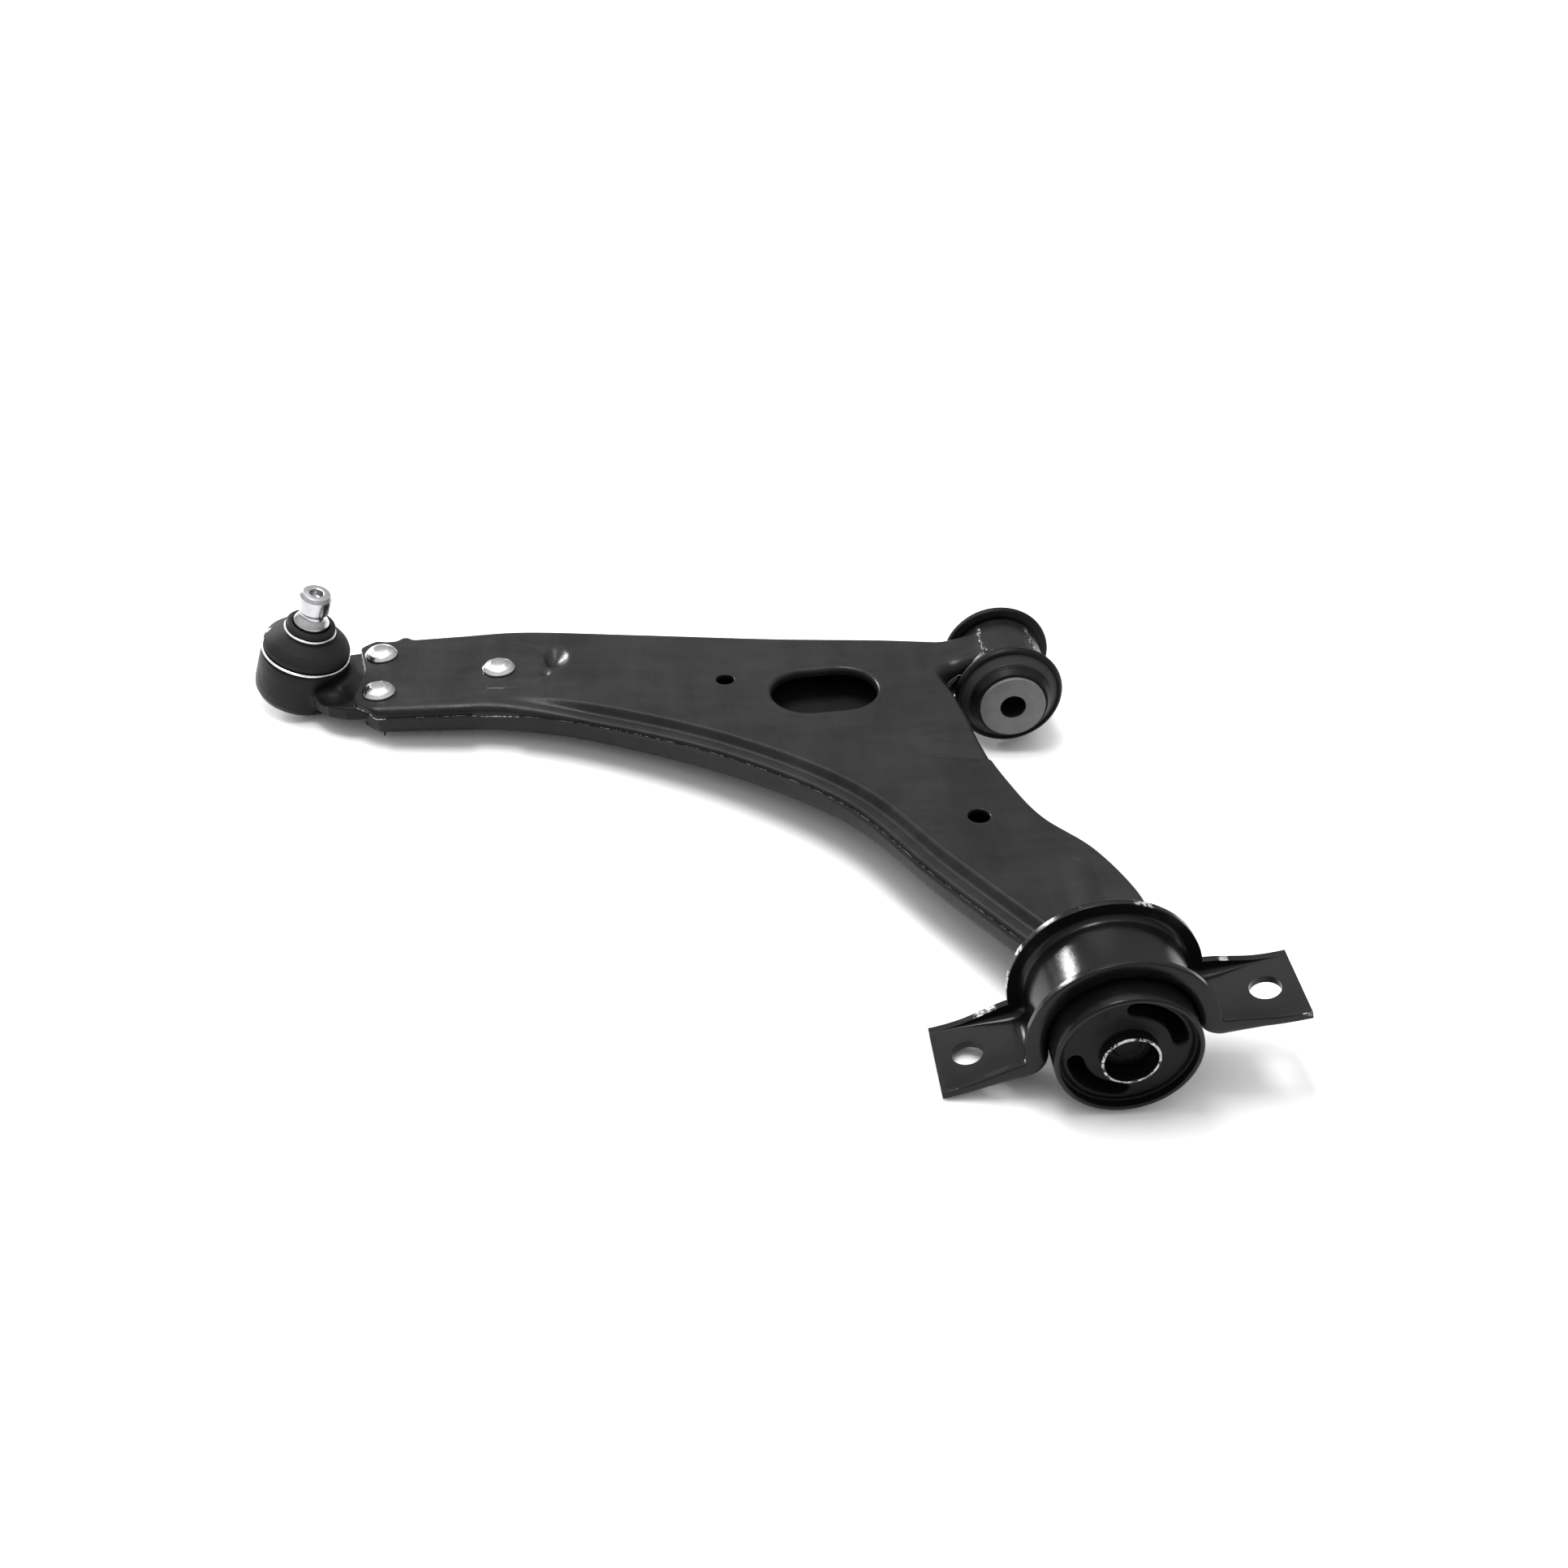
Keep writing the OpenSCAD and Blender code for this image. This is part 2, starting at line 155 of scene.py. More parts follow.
def contains(points, loop):
    inside = np.zeros(len(points), bool)
    x, y = points[:, 0], points[:, 1]
    for (x0, y0), (x1, y1) in zip(loop, np.roll(loop, -1, 0)):
        crosses = (y0 > y) != (y1 > y)
        slope = (x1 - x0) / (y1 - y0) if y1 != y0 else 0
        inside ^= crosses & (x < x0 + slope * (y - y0))
    return inside


def rounded(points, closed=False, steps=5):
    """A polyline of (x, y, corner radius) with its corners turned into arcs."""
    places = [np.array(p[:2], float) for p in points]
    out = []
    for i, here in enumerate(places):
        radius = points[i][2] if len(points[i]) > 2 else 0
        if radius == 0 or (not closed and i in (0, len(points) - 1)):
            out.append(here)
            continue
        a, b = places[i - 1] - here, places[(i + 1) % len(places)] - here
        la, lb = np.linalg.norm(a), np.linalg.norm(b)
        a, b = a / la, b / lb
        half = math.acos(max(-1, min(1, a @ b))) / 2
        reach = min(radius / math.tan(half), 0.49 * la, 0.49 * lb)
        centre = here + (a + b) / np.linalg.norm(a + b) * reach / math.cos(half)
        first, last = here + a * reach - centre, here + b * reach - centre
        swing = math.atan2(first[0] * last[1] - first[1] * last[0], first @ last)
        for k in range(steps + 1):
            c, s = math.cos(swing * k / steps), math.sin(swing * k / steps)
            out.append(centre + [c * first[0] - s * first[1], s * first[0] + c * first[1]])
    return np.array(out)


# ---------- Solids as (vertices, faces) ----------

def lathe(profile, turns=96, closed=False):
    """Turns a profile of (radius, height) round the local Z axis."""
    verts, faces, rings = [], [], []
    angles = np.arange(turns) * 2 * math.pi / turns
    for r, h in profile:
        if r < 1e-6:
            rings.append([len(verts)] * turns)
            verts.append((0, 0, h))
        else:
            rings.append(list(range(len(verts), len(verts) + turns)))
            verts += [(r * math.cos(a), r * math.sin(a), h) for a in angles]
    pairs = list(zip(rings, rings[1:] + rings[:1]))
    for low, high in pairs if closed else pairs[:-1]:
        for k in range(turns):
            face = [low[k], low[(k + 1) % turns], high[(k + 1) % turns], high[k]]
            face = [v for n, v in enumerate(face) if v not in face[:n]]
            if len(face) > 2:
                faces.append(face)
    return np.array(verts, float), faces


def sweep(rings):
    """Skins a list of equal closed rings, with flat ends."""
    count = len(rings[0])
    verts = np.vstack(rings)
    faces = []
    for i in range(len(rings) - 1):
        for k in range(count):
            n = (k + 1) % count
            faces.append([i * count + k, i * count + n, (i + 1) * count + n, (i + 1) * count + k])
    faces.append(list(range(count))[::-1])
    faces.append([(len(rings) - 1) * count + k for k in range(count)])
    return verts, faces


def join(*solids):
    verts, faces, offset = [], [], 0
    for v, f in solids:
        verts.append(v)
        faces += [[i + offset for i in face] for face in f]
        offset += len(v)
    return np.vstack(verts), faces


def placed(solid, matrix):
    verts, faces = solid
    return verts @ matrix[:3, :3].T + matrix[:3, 3], faces


def turned(profile, place, turns=120, closed=True, steps=5):
    """A profile of (radius, height, corner radius) turned round the local Z axis of a place."""
    return placed(lathe(rounded(profile, closed, steps), turns, closed), place)


def axis_matrix(origin, axis, side=(1, 0, 0)):
    """Matrix whose local Z runs along the axis and whose local X is near side."""
    z = np.array(axis, float) / np.linalg.norm(axis)
    x = np.array(side, float) - z * np.dot(side, z)
    x /= np.linalg.norm(x)
    m = np.eye(4)
    m[:3, 0], m[:3, 1], m[:3, 2], m[:3, 3] = x, np.cross(z, x), z, origin
    return m


def fill(outer, holes, rows, step):
    """Triangles between an outer loop and its holes, with rows of points beside the edges."""
    low, high = outer.min(0), outer.max(0)
    columns = np.arange(low[0], high[0], step)
    lines = np.arange(low[1], high[1], step * 0.866)
    gx, gy = np.meshgrid(columns, lines)
    gx = gx + (np.arange(len(lines)) % 2)[:, None] * step / 2
    grid = np.stack([gx.ravel(), gy.ravel()], 1)
    tree = point_tree(rows)
    grid = grid[[tree.find((x, y, 0))[2] > 0.75 * step for x, y in grid]]
    extra = np.vstack([rows, grid])
    extra = extra[contains(extra, outer)]
    for hole in holes:
        extra = extra[~contains(extra, hole)]
    points, edges = [], []
    for loop in (outer, *holes):
        extra = extra[distance_to(extra, loop) > 0.35]
        first = len(points)
        points += [Vector(p) for p in loop]
        edges += [(first + k, first + (k + 1) % len(loop)) for k in range(len(loop))]
    points += [Vector(p) for p in extra]
    out, _, triangles, *_ = delaunay_2d_cdt(points, edges, [], 1, 1e-4, False)
    out = np.array([tuple(p) for p in out])
    triangles = np.array(triangles)
    centres = out[triangles].mean(1)
    keep = contains(centres, outer)
    for hole in holes:
        keep &= ~contains(centres, hole)
    return out, triangles[keep]


def point_tree(points):
    tree = KDTree(len(points))
    for i, (x, y) in enumerate(points):
        tree.insert((x, y, 0), i)
    tree.balance()
    return tree


def vertex_normals(verts, triangles):
    a, b, c = (verts[triangles[:, k]] for k in range(3))
    face = np.cross(b - a, c - a)
    normals = np.zeros_like(verts)
    for k in range(3):
        np.add.at(normals, triangles[:, k], face)
    return normals / np.maximum(np.linalg.norm(normals, axis=1), 1e-9)[:, None]


def closed_sheet(outside, inside, triangles):
    """A solid between two skins of the same triangles, and the sides of its outer rim."""
    count = len(outside)
    sides = np.vstack([triangles[:, [0, 1]], triangles[:, [1, 2]], triangles[:, [2, 0]]])
    known = set(map(tuple, sides.tolist()))
    rim = [(a, b) for a, b in known if (b, a) not in known]
    faces = triangles.tolist() + (triangles[:, ::-1] + count).tolist()
    faces += [[b, a, a + count, b + count] for a, b in rim]
    return np.vstack([outside, inside]), faces, rim


def thicken(verts, triangles):
    """A sheet of the arm's thickness whose outside is the skin given."""
    return closed_sheet(verts, verts - vertex_normals(verts, triangles) * SHEET, triangles)


def iso_surface(sdf, low, high, step):
    """Closed mesh where sdf is zero, by surface nets."""
    axes = [np.arange(low[k], high[k] + step, step) for k in range(3)]
    shape = [len(a) for a in axes]
    grid = np.stack(np.meshgrid(*axes, indexing="ij"), -1)
    d = sdf(grid.reshape(-1, 3)).reshape(shape)
    inside = d < 0
    cells = [n - 1 for n in shape]

    def corner(field, i, j, k):
        return field[i:i + cells[0], j:j + cells[1], k:k + cells[2]]

    offsets = [(i, j, k) for i in (0, 1) for j in (0, 1) for k in (0, 1)]
    hits = sum(corner(inside, *o).astype(int) for o in offsets)
    mixed = (hits > 0) & (hits < 8)
    total, count = np.zeros((*cells, 3)), np.zeros(cells)
    for o in offsets:
        for axis in range(3):
            if o[axis]:
                continue
            far = tuple(o[n] + (n == axis) for n in range(3))
            d0, d1 = corner(d, *o), corner(d, *far)
            cut = (d0 < 0) != (d1 < 0)
            t = np.where(cut, d0 / np.where(cut, d0 - d1, 1), 0)
            total += np.where(cut[..., None], np.array(o) + t[..., None] * np.eye(3)[axis], 0)
            count += cut
    index = np.full(cells, -1)
    index[mixed] = np.arange(mixed.sum())
    base = np.argwhere(mixed)
    verts = np.array(low) + (base + total[mixed] / count[mixed][:, None]) * step
    faces = []
    for axis in range(3):
        u, v = [n for n in range(3) if n != axis]
        cut = np.diff(inside.astype(int), axis=axis)
        for place in np.argwhere(cut != 0):
            if place[u] == 0 or place[v] == 0 or place[u] >= cells[u] or place[v] >= cells[v]:
                continue
            quad = []
            for du, dv in ((0, 0), (-1, 0), (-1, -1), (0, -1)):
                cell = place.copy()
                cell[u] += du
                cell[v] += dv
                quad.append(int(index[tuple(cell)]))
            if (cut[tuple(place)] > 0) == (axis == 1):
                quad.reverse()
            faces.append(quad)
    for _ in range(4):
        value = sdf(verts)
        slope = np.stack([(sdf(verts + e) - sdf(verts - e)) / 0.2 for e in np.eye(3) * 0.1], 1)
        verts = verts - slope * (value / np.maximum((slope ** 2).sum(1), 0.3))[:, None]
    return verts, faces


def polygon_distance(points, loop):
    d = distance_to(points, loop)
    return np.where(contains(points, loop), -d, d)


def soft_union(a, b, k):
    h = np.clip(0.5 + 0.5 * (b - a) / k, 0, 1)
    return b * (1 - h) + a * h - k * h * (1 - h)


def soft_cut(a, b, k):
    """Solid a with solid b taken away."""
    return -soft_union(-a, b, k)


# ---------- Materials ----------

MATERIALS = {}


class Shader:
    """A procedural material with short calls for its nodes."""

    def __init__(self, name, **sockets):
        self.material = MATERIALS[name] = bpy.data.materials.new(name)
        self.material.use_nodes = True
        self.tree = self.material.node_tree
        self.bsdf = self.tree.nodes["Principled BSDF"]
        self.point = self.tree.nodes.new("ShaderNodeTexCoord").outputs["Object"]
        for socket, value in sockets.items():
            self.bsdf.inputs[socket.replace("_", " ")].default_value = value

    def node(self, kind, inputs=(), **settings):
        node = self.tree.nodes.new("ShaderNode" + kind)
        for key, value in settings.items():
            setattr(node, key, value)
        for key, value in dict(inputs).items():
            if isinstance(value, bpy.types.NodeSocket):
                self.tree.links.new(value, node.inputs[key])
            else:
                node.inputs[key].default_value = value
        return node

    def noise(self, scale, detail=4, rough=0.55, stretch=None):
        """Noise with the given features per metre."""
        vector = self.point
        if stretch:
            vector = self.node("Mapping", {"Vector": self.point, "Scale": stretch}).outputs[0]
        return self.node("TexNoise", {"Vector": vector, "Scale": scale, "Detail": detail,
                                      "Roughness": rough}).outputs["Fac"]

    def ramp(self, value, low, high, start=0.0, end=1.0):
        """value from low..high mapped to start..end."""
        return self.node("MapRange", {"Value": value, "From Min": low, "From Max": high,
                                      "To Min": start, "To Max": end}).outputs[0]

    def maths(self, operation, a, b):
        return self.node("Math", {0: a, 1: b}, operation=operation).outputs[0]

    def colours(self, share, dark, light):
        """Mixes two colours; a single number stands for a slightly cool grey."""
        node = self.node("Mix", data_type="RGBA")
        self.tree.links.new(share, node.inputs[0])
        for socket, colour in ((node.inputs[6], dark), (node.inputs[7], light)):
            if isinstance(colour, bpy.types.NodeSocket):
                self.tree.links.new(colour, socket)
            elif isinstance(colour, tuple):
                socket.default_value = (*colour, 1)
            else:
                socket.default_value = (colour, colour, 1.02 * colour, 1)
        return node.outputs[2]

    def wear_and_painted_light(self):
        return self.node("Attribute", attribute_name="wear_and_painted_light").outputs["Fac"]

    def set(self, socket, value):
        self.tree.links.new(value, self.bsdf.inputs[socket])

    def bump(self, height, strength, distance):
        node = self.node("Bump", {"Height": height, "Strength": strength,
                                  "Distance": distance})
        self.set("Normal", node.outputs[0])


def paint(name, dark, light, rough, gloss_spread, bump, shine):
    """Black paint over pressed steel: pale bare metal where the attribute is 1, the paleness partly a painted
    highlight on edges; dull where it is -1.
    """
    s = Shader(name, Specular_IOR_Level=shine)
    cloud = s.noise(17, 5, 0.65)
    streak = s.noise(42, 5, 0.65, stretch=(0.45, 1.6, 1.0))
    cross = s.noise(38, 4, 0.6, stretch=(1.8, 0.3, 1.0))
    fine = s.noise(900, 3, 0.6)
    blend = s.maths("ADD", s.ramp(cloud, 0.35, 0.65, 0, 0.45), s.ramp(streak, 0.38, 0.62, 0, 0.35))
    blend = s.maths("ADD", blend, s.ramp(cross, 0.4, 0.62, 0, 0.25))
    body = s.colours(blend, dark, light)
    # Worn edges: bare steel made pale and barely metallic, so that it also stands as a painted highlight
    # whatever it reflects.
    worn_edge_highlight = s.maths("MULTIPLY", s.ramp(s.wear_and_painted_light(), 0, 1), s.ramp(s.noise(330, 4, 0.7), 0.4, 0.58))
    s.set("Base Color", s.colours(s.ramp(worn_edge_highlight, 0.2, 0.7), body, (0.5, 0.5, 0.5)))
    s.set("Metallic", s.ramp(worn_edge_highlight, 0.35, 0.75, 0, 0.35))
    gloss = s.maths("ADD", s.ramp(blend, 0.2, 0.9, rough - gloss_spread, rough + gloss_spread),
                    s.ramp(fine, 0.3, 0.7, -0.03, 0.03))
    s.set("Roughness", s.maths("ADD", gloss, s.ramp(s.wear_and_painted_light(), -1, 0, 0.5, 0)))
    grain = s.maths("ADD", s.ramp(fine, 0.2, 0.8, 0, 0.5), s.ramp(s.noise(150, 3), 0.2, 0.8, 0, 0.9))
    s.bump(grain, bump, 0.0004)


def rubber(name, dark, light, rough, shine=0.28):
    """Black rubber with some dust, lighter where the attribute is near 1 as painted light on a lit face, and
    a pale spot where it is over 2.
    """
    s = Shader(name, Specular_IOR_Level=shine)
    cloud = s.noise(45, 5, 0.65)
    fine = s.noise(1400, 3, 0.6)
    dust_and_painted_light = s.maths("ADD", s.ramp(cloud, 0.4, 0.75, 0, 0.2), s.ramp(fine, 0.55, 0.8, 0, 0.15))
    # Painted light: lighter where the attribute is near 1, on the lit dish of the front flange.
    dust_and_painted_light = s.maths("ADD", dust_and_painted_light, s.ramp(s.wear_and_painted_light(), 0, 1))
    body = s.colours(dust_and_painted_light, dark, light)
    s.set("Base Color", s.colours(s.ramp(s.wear_and_painted_light(), 1.6, 2.4), body, (0.5, 0.5, 0.49)))
    s.set("Roughness", s.ramp(cloud, 0.3, 0.7, rough - 0.08, rough + 0.08))
    s.bump(s.maths("ADD", s.ramp(fine, 0, 1, 0, 0.4), s.ramp(s.noise(300, 3), 0, 1, 0, 0.6)),
           0.25, 0.0003)


def metal(name, dark, light, rough, spread=0.08, bump=0.15):
    """Plated or machined steel."""
    s = Shader(name, Metallic=1.0)
    cloud = s.noise(120, 5, 0.6)
    fine = s.noise(1500, 3, 0.6)
    share = s.maths("ADD", s.ramp(cloud, 0.3, 0.7, 0, 0.65), s.ramp(fine, 0.3, 0.7, 0, 0.35))
    s.set("Base Color", s.colours(share, dark, light))
    s.set("Roughness", s.maths("ADD", s.ramp(cloud, 0.3, 0.7, rough - spread, rough + spread),
                               s.ramp(fine, 0.3, 0.7, -0.04, 0.04)))
    s.bump(s.maths("ADD", fine, s.ramp(s.noise(260, 3), 0, 1, 0, 0.8)), bump, 0.0002)


def phosphated():
    """Grey phosphated disc, matt and a little stained, painted near-black as painted shade in the bore, where
    the attribute is -1.
    """
    s = Shader("phosphated_steel", Metallic=0.35)
    cloud = s.noise(160, 6, 0.7)
    fine = s.noise(2600, 3, 0.6)
    share = s.maths("ADD", s.ramp(cloud, 0.35, 0.65, 0, 0.6), s.ramp(fine, 0.3, 0.7, 0, 0.4))
    face = s.colours(share, 0.1, 0.16)
    # Painted shade: near-black where the attribute is -1, inside the front core's bore.
    s.set("Base Color", s.colours(s.ramp(s.wear_and_painted_light(), -1, -0.5), 0.004, face))
    s.set("Roughness", s.ramp(cloud, 0.3, 0.7, 0.5, 0.66))
    s.bump(s.maths("ADD", fine, cloud), 0.2, 0.0002)


paint("black_paint", 0.003, 0.0125, rough=0.34, gloss_spread=0.06, bump=0.25, shine=0.2)
paint("bracket_paint", 0.0025, 0.005, rough=0.22, gloss_spread=0.04, bump=0.12, shine=0.2)
paint("forged_black", 0.003, 0.008, rough=0.42, gloss_spread=0.06, bump=0.5, shine=0.14)
paint("weld_metal", 0.008, 0.016, rough=0.36, gloss_spread=0.06, bump=0.6, shine=0.3)
metal("bush_steel", 0.1, 0.2, rough=0.42)
phosphated()
metal("zinc_steel", 0.36, 0.56, rough=0.2, spread=0.05, bump=0.1)
metal("rivet_zinc", 0.42, 0.62, rough=0.2, spread=0.06)
metal("ring_wire", 0.62, 0.85, rough=0.22)
rubber("bush_rubber", 0.002, 0.03, rough=0.46, shine=0.13)
rubber("boot_rubber", 0.013, 0.024, rough=0.6, shine=0.1)
rubber("seat_plastic", (0.55, 0.53, 0.48), (0.66, 0.64, 0.58), rough=0.4)


PIECES = []


def new_object(name, data):
    thing = bpy.data.objects.new(name, data)
    bpy.context.scene.collection.objects.link(thing)
    return thing


def mesh_of(name, solid):
    mesh = bpy.data.meshes.new(name)
    mesh.from_pydata((solid[0] * MM).tolist(), [], [list(map(int, f)) for f in solid[1]])
    return mesh


def add_piece(name, solid, body, slot, stands_for=(), wear_and_painted_light=None, sharp=38):
    """Makes a piece from a solid in millimetres and hangs it on its CAD body."""
    mesh = mesh_of(name, solid)
    if wear_and_painted_light is not None:
        mesh.attributes.new("wear_and_painted_light", "FLOAT", "POINT").data.foreach_set("value", wear_and_painted_light.astype(np.float32))
    mesh.validate()
    mesh.shade_smooth()
    mesh.set_sharp_from_angle(angle=math.radians(sharp))
    mesh.materials.append(MATERIALS[slot])
    piece = new_object(name, mesh)
    PIECES.append(name)
    if stands_for:
        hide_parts(*stands_for)
    if body:
        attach(piece, body)
    return piece


def apply_modifiers(piece):
    depsgraph = bpy.context.evaluated_depsgraph_get()
    mesh = bpy.data.meshes.new_from_object(piece.evaluated_get(depsgraph))
    piece.modifiers.clear()
    piece.data = mesh


# ---------- Arm shells ----------

SHEET = 3.0
TOP_Z = cad_box("rivets")[1][2] - 4.6
LEDGE_Z = 9.0
LEDGE_W = 9.5
EYE_R = cad_box("front_eye_tube")[1][2]
BULGE_R = cad_box("top_shell")[1][2]
SHELL_REAR_Y = cad_box("top_shell")[0][1]
BULGE_FRONT_Y = -194.0
BULGE_NOSE = 6.0
WEB_FILLET = 50.0
WEB_END_X = -10.0
NOTCH = np.array([-34.0, -14.0])
CREASE = np.array([(-72, -84), (-68, -91), (-61, -97.5), (-50, -101.5), (-38, -103.5), (-26, -105)], float)
TONGUE = np.array([-284.0, 12.0])
TONGUE_R = 21.5
# Hollows at the tongue's tip: place, half sizes and depth
BOWL = (np.array([-258.5, 17.5]), np.array([9.5, 14.0]), 4.8)
DINT = (np.array([-263.5, 1.0]), np.array([3.4, 4.2]), 1.6)
SLIT = np.array([(-296.5, -12.2), (-282.3, -11.7)])
NOSE_X, NOSE_FAR_Y = -359.5, 45.0
# The burr that shearing leaves at the foot of a wall
BURR_OUT, BURR_HIGH = 0.28, 0.65
SEAT_X, SEAT_Y = -318.0, 12.0

# Key points of the arm's edges in plan, counter-clockwise. Smooth curves run through them.
NEAR_KEYS = [(-357, -30), (-320, -30.5), (-285, -32), (-237, -45), (-167, -80),
             (-107, -129), (-70, -190), (-43, -232), (-31, SHELL_REAR_Y)]
LEG_KEYS = [(28, SHELL_REAR_Y), (27, -221), (13, -184), (-8, -155), (-20, -122),
            (-28, -90), (-30.8, -66), (-33.8, -45), (-36.4, -29), (-36.2, -17), (-31, -11.5), (-22, -11)]
EYE_KEYS = [(WEB_END_X, -13), (WEB_END_X, 17)]
FAR_KEYS = [(-33, 18), (-70, 23.5), (-132, 30), (-210, 41), (-275, 49.5), (-313, 48), (-345, 46)]
NOSE_KEYS = [(-362, 45), (-371, 37), (-366, 12), (-370, -13), (-369, -21)]


def open_curve(keys, steps=8):
    """A smooth curve through key points."""
    p = np.array([keys[0], *keys, keys[-1]], float)
    out = []
    for a, b, c, d in zip(p, p[1:], p[2:], p[3:]):
        for t in np.linspace(0, 1, steps + 1)[:-1]:
            out.append(0.5 * (2 * b + (c - a) * t + (2 * a - 5 * b + 4 * c - d) * t ** 2
                              + (3 * b - a - 3 * c + d) * t ** 3))
    return np.array([*out, keys[-1]])


def arm_outline():
    """The sheared edge of the upper shell, with the web carried on to the eye tube."""
    loop = np.vstack([open_curve(NEAR_KEYS), open_curve(LEG_KEYS), EYE_KEYS, open_curve(FAR_KEYS),
                      NOSE_KEYS])
    loop = relax(even(loop, 1.6), 2)
    tab = 3.2 * np.exp(-((loop[:, 0] + 346) / 4.2) ** 4) * (loop[:, 1] > 40)
    return loop - inward(loop) * tab[:, None]


OUTLINE = arm_outline()


def span(*ends):
    """Indices of the outline's points between two places on it."""
    first, last = (int(np.argmin(np.hypot(*(OUTLINE - end).T))) for end in ends)
    count = (last - first) % len(OUTLINE)
    return [(first + k) % len(OUTLINE) for k in range(count + 1)]


NEAR = span(NEAR_KEYS[0], NEAR_KEYS[-1])
LEG = span(NEAR_KEYS[-1], LEG_KEYS[-1])


def ledge_share(x):
    return smooth((x + 300) / 70)


def at_nose(p):
    """Where the shells are cut off square round the ball joint plate."""
    return (p[:, 0] < NOSE_X) & (p[:, 1] < NOSE_FAR_Y)


def bend_radius():
    """Outer bend radius at each point of the outline."""
    radius = np.full(len(OUTLINE), 4.0)
    radius[LEG] = 2.6
    radius[NEAR] = 5.4 - 3.2 * ledge_share(OUTLINE[NEAR, 0])
    radius += 6.8 * np.exp(-((OUTLINE - NOTCH) ** 2).sum(1) / 150)
    radius[at_nose(OUTLINE)] = 0.7
    for _ in range(4):
        radius = (np.roll(radius, 1) + radius + np.roll(radius, -1)) / 3
    return radius


def web_height(x):
    """Rise of the web from the panel onto the eye tube."""
    centre_x = -math.sqrt((EYE_R + WEB_FILLET) ** 2 - (TOP_Z + WEB_FILLET) ** 2)
    touch_x = centre_x * EYE_R / (EYE_R + WEB_FILLET)
    rise = TOP_Z + WEB_FILLET - np.sqrt(np.maximum(WEB_FILLET ** 2 - np.clip(x - centre_x, 0, 49) ** 2, 1))
    tube = np.sqrt(np.maximum(EYE_R ** 2 - x ** 2, 1)) - 0.5
    return np.where(x < touch_x, rise, tube) - TOP_Z


def pin_bulge(p, level, softness):
    """Rise of a shell over the pin's round above a level, with a rounded front end."""
    x, y = p[:, 0], p[:, 1]
    back = np.maximum(y - BULGE_FRONT_Y + BULGE_NOSE, 0)
    rise = np.sqrt(np.maximum(BULGE_R ** 2 - x ** 2 - 0.6 * back ** 2, 0)) - level
    return np.log1p(np.exp(np.clip(rise / softness, -30, 30))) * softness * (y < -150)


def panel_height(p, holes):
    """Height of the upper shell's outside over the plan point p."""
    x, y = p[:, 0], p[:, 1]
    d = distance_to(p, OUTLINE[NEAR], closed=False)
    share = ledge_share(x) * smooth((d + 30) / 10)
    drop = TOP_Z - LEDGE_Z
    z = TOP_Z - share * drop * (1 - smooth((d - LEDGE_W + 2.6) / 5.2))
    z += share * 0.14 * np.exp(-((d - LEDGE_W - 2.6) / 1.2) ** 2)
    z -= share * 0.15 * np.exp(-((d - LEDGE_W + 2.0) / 1.3) ** 2)
    # Web up to the eye
    z += np.where((x > -60) & (abs(y) < 30), web_height(x), 0)
    z += 1.3 * pin_bulge(p, TOP_Z, 0.35)
    # Crease and the soft dip beyond it
    across = distance_to(p, CREASE, closed=False)
    line_y = np.interp(x, CREASE[:, 0], CREASE[:, 1])
    beyond = smooth((y - line_y) / 1.2)
    z -= 1.5 * beyond * smooth((x + 74) / 14) * np.exp(-(across / 10) ** 2)
    # Pressed border of the tongue round the third rivet, and the bowl at its tip
    radius = np.hypot(np.maximum(x - TONGUE[0], 0), y - TONGUE[1])
    fade = (0.25 + 0.75 * smooth((x + 300) / 25)) * smooth((x + 335) / 30)
    z -= 0.55 * fade * np.exp(-((radius - TONGUE_R) / 2.4) ** 2)
    outside = smooth((radius - TONGUE_R + 2.2) / 3.2)
    for place, reach, depth in (BOWL, DINT):
        bowl = np.hypot(*((p - place) / reach).T)
        z -= depth * outside * (1 - smooth(bowl)) ** 0.9
    z -= 0.7 * np.exp(-(distance_to(p, SLIT, closed=False) / 0.55) ** 2)
    for hole, roll, depth in holes:
        away = distance_to(p, hole)
        z -= depth * (1 - np.sqrt(1 - np.clip(1 - away / roll, 0, 1) ** 2))
        z -= 0.25 * (roll > 2) * np.exp(-((away - roll - 2.5) / 1.0) ** 2)
    return z


def strip(a, b):
    """Triangles between two equal closed rings of points."""
    an, bn = np.roll(a, -1), np.roll(b, -1)
    return np.column_stack([b, bn, an]).tolist() + np.column_stack([b, an, a]).tolist()


def wall_strips(verts, outline, radius, low, turn_steps=6, wall_steps=3):
    """Carries a panel round the bend at its edge, which its first points follow, and down its wall."""
    count = len(outline)
    rings = [np.arange(count)]
    normal = inward(outline)
    heights = verts[:count, 2]
    low = np.minimum(low, heights - radius - 0.4)
    new, next_id = [], len(verts)
    for k in range(1, turn_steps + wall_steps + 1):
        if k <= turn_steps:
            a = math.pi / 2 * k / turn_steps
            plan = outline + normal * (radius * (1 - math.sin(a)))[:, None]
            z = heights - radius * (1 - math.cos(a))
        else:
            last = k == turn_steps + wall_steps
            t = min(1, (k - turn_steps) / (wall_steps - 1))
            plan = outline - normal * (BURR_OUT if last else 0)
            z = heights - radius + (low + BURR_HIGH - heights + radius) * t - (BURR_HIGH if last else 0)
        new.append(np.column_stack([plan, z]))
        rings.append(np.arange(next_id, next_id + count))
        next_id += count
    triangles = []
    for a, b in zip(rings, rings[1:]):
        triangles += strip(a, b)
    return np.vstack([verts, *new]), np.array(triangles)


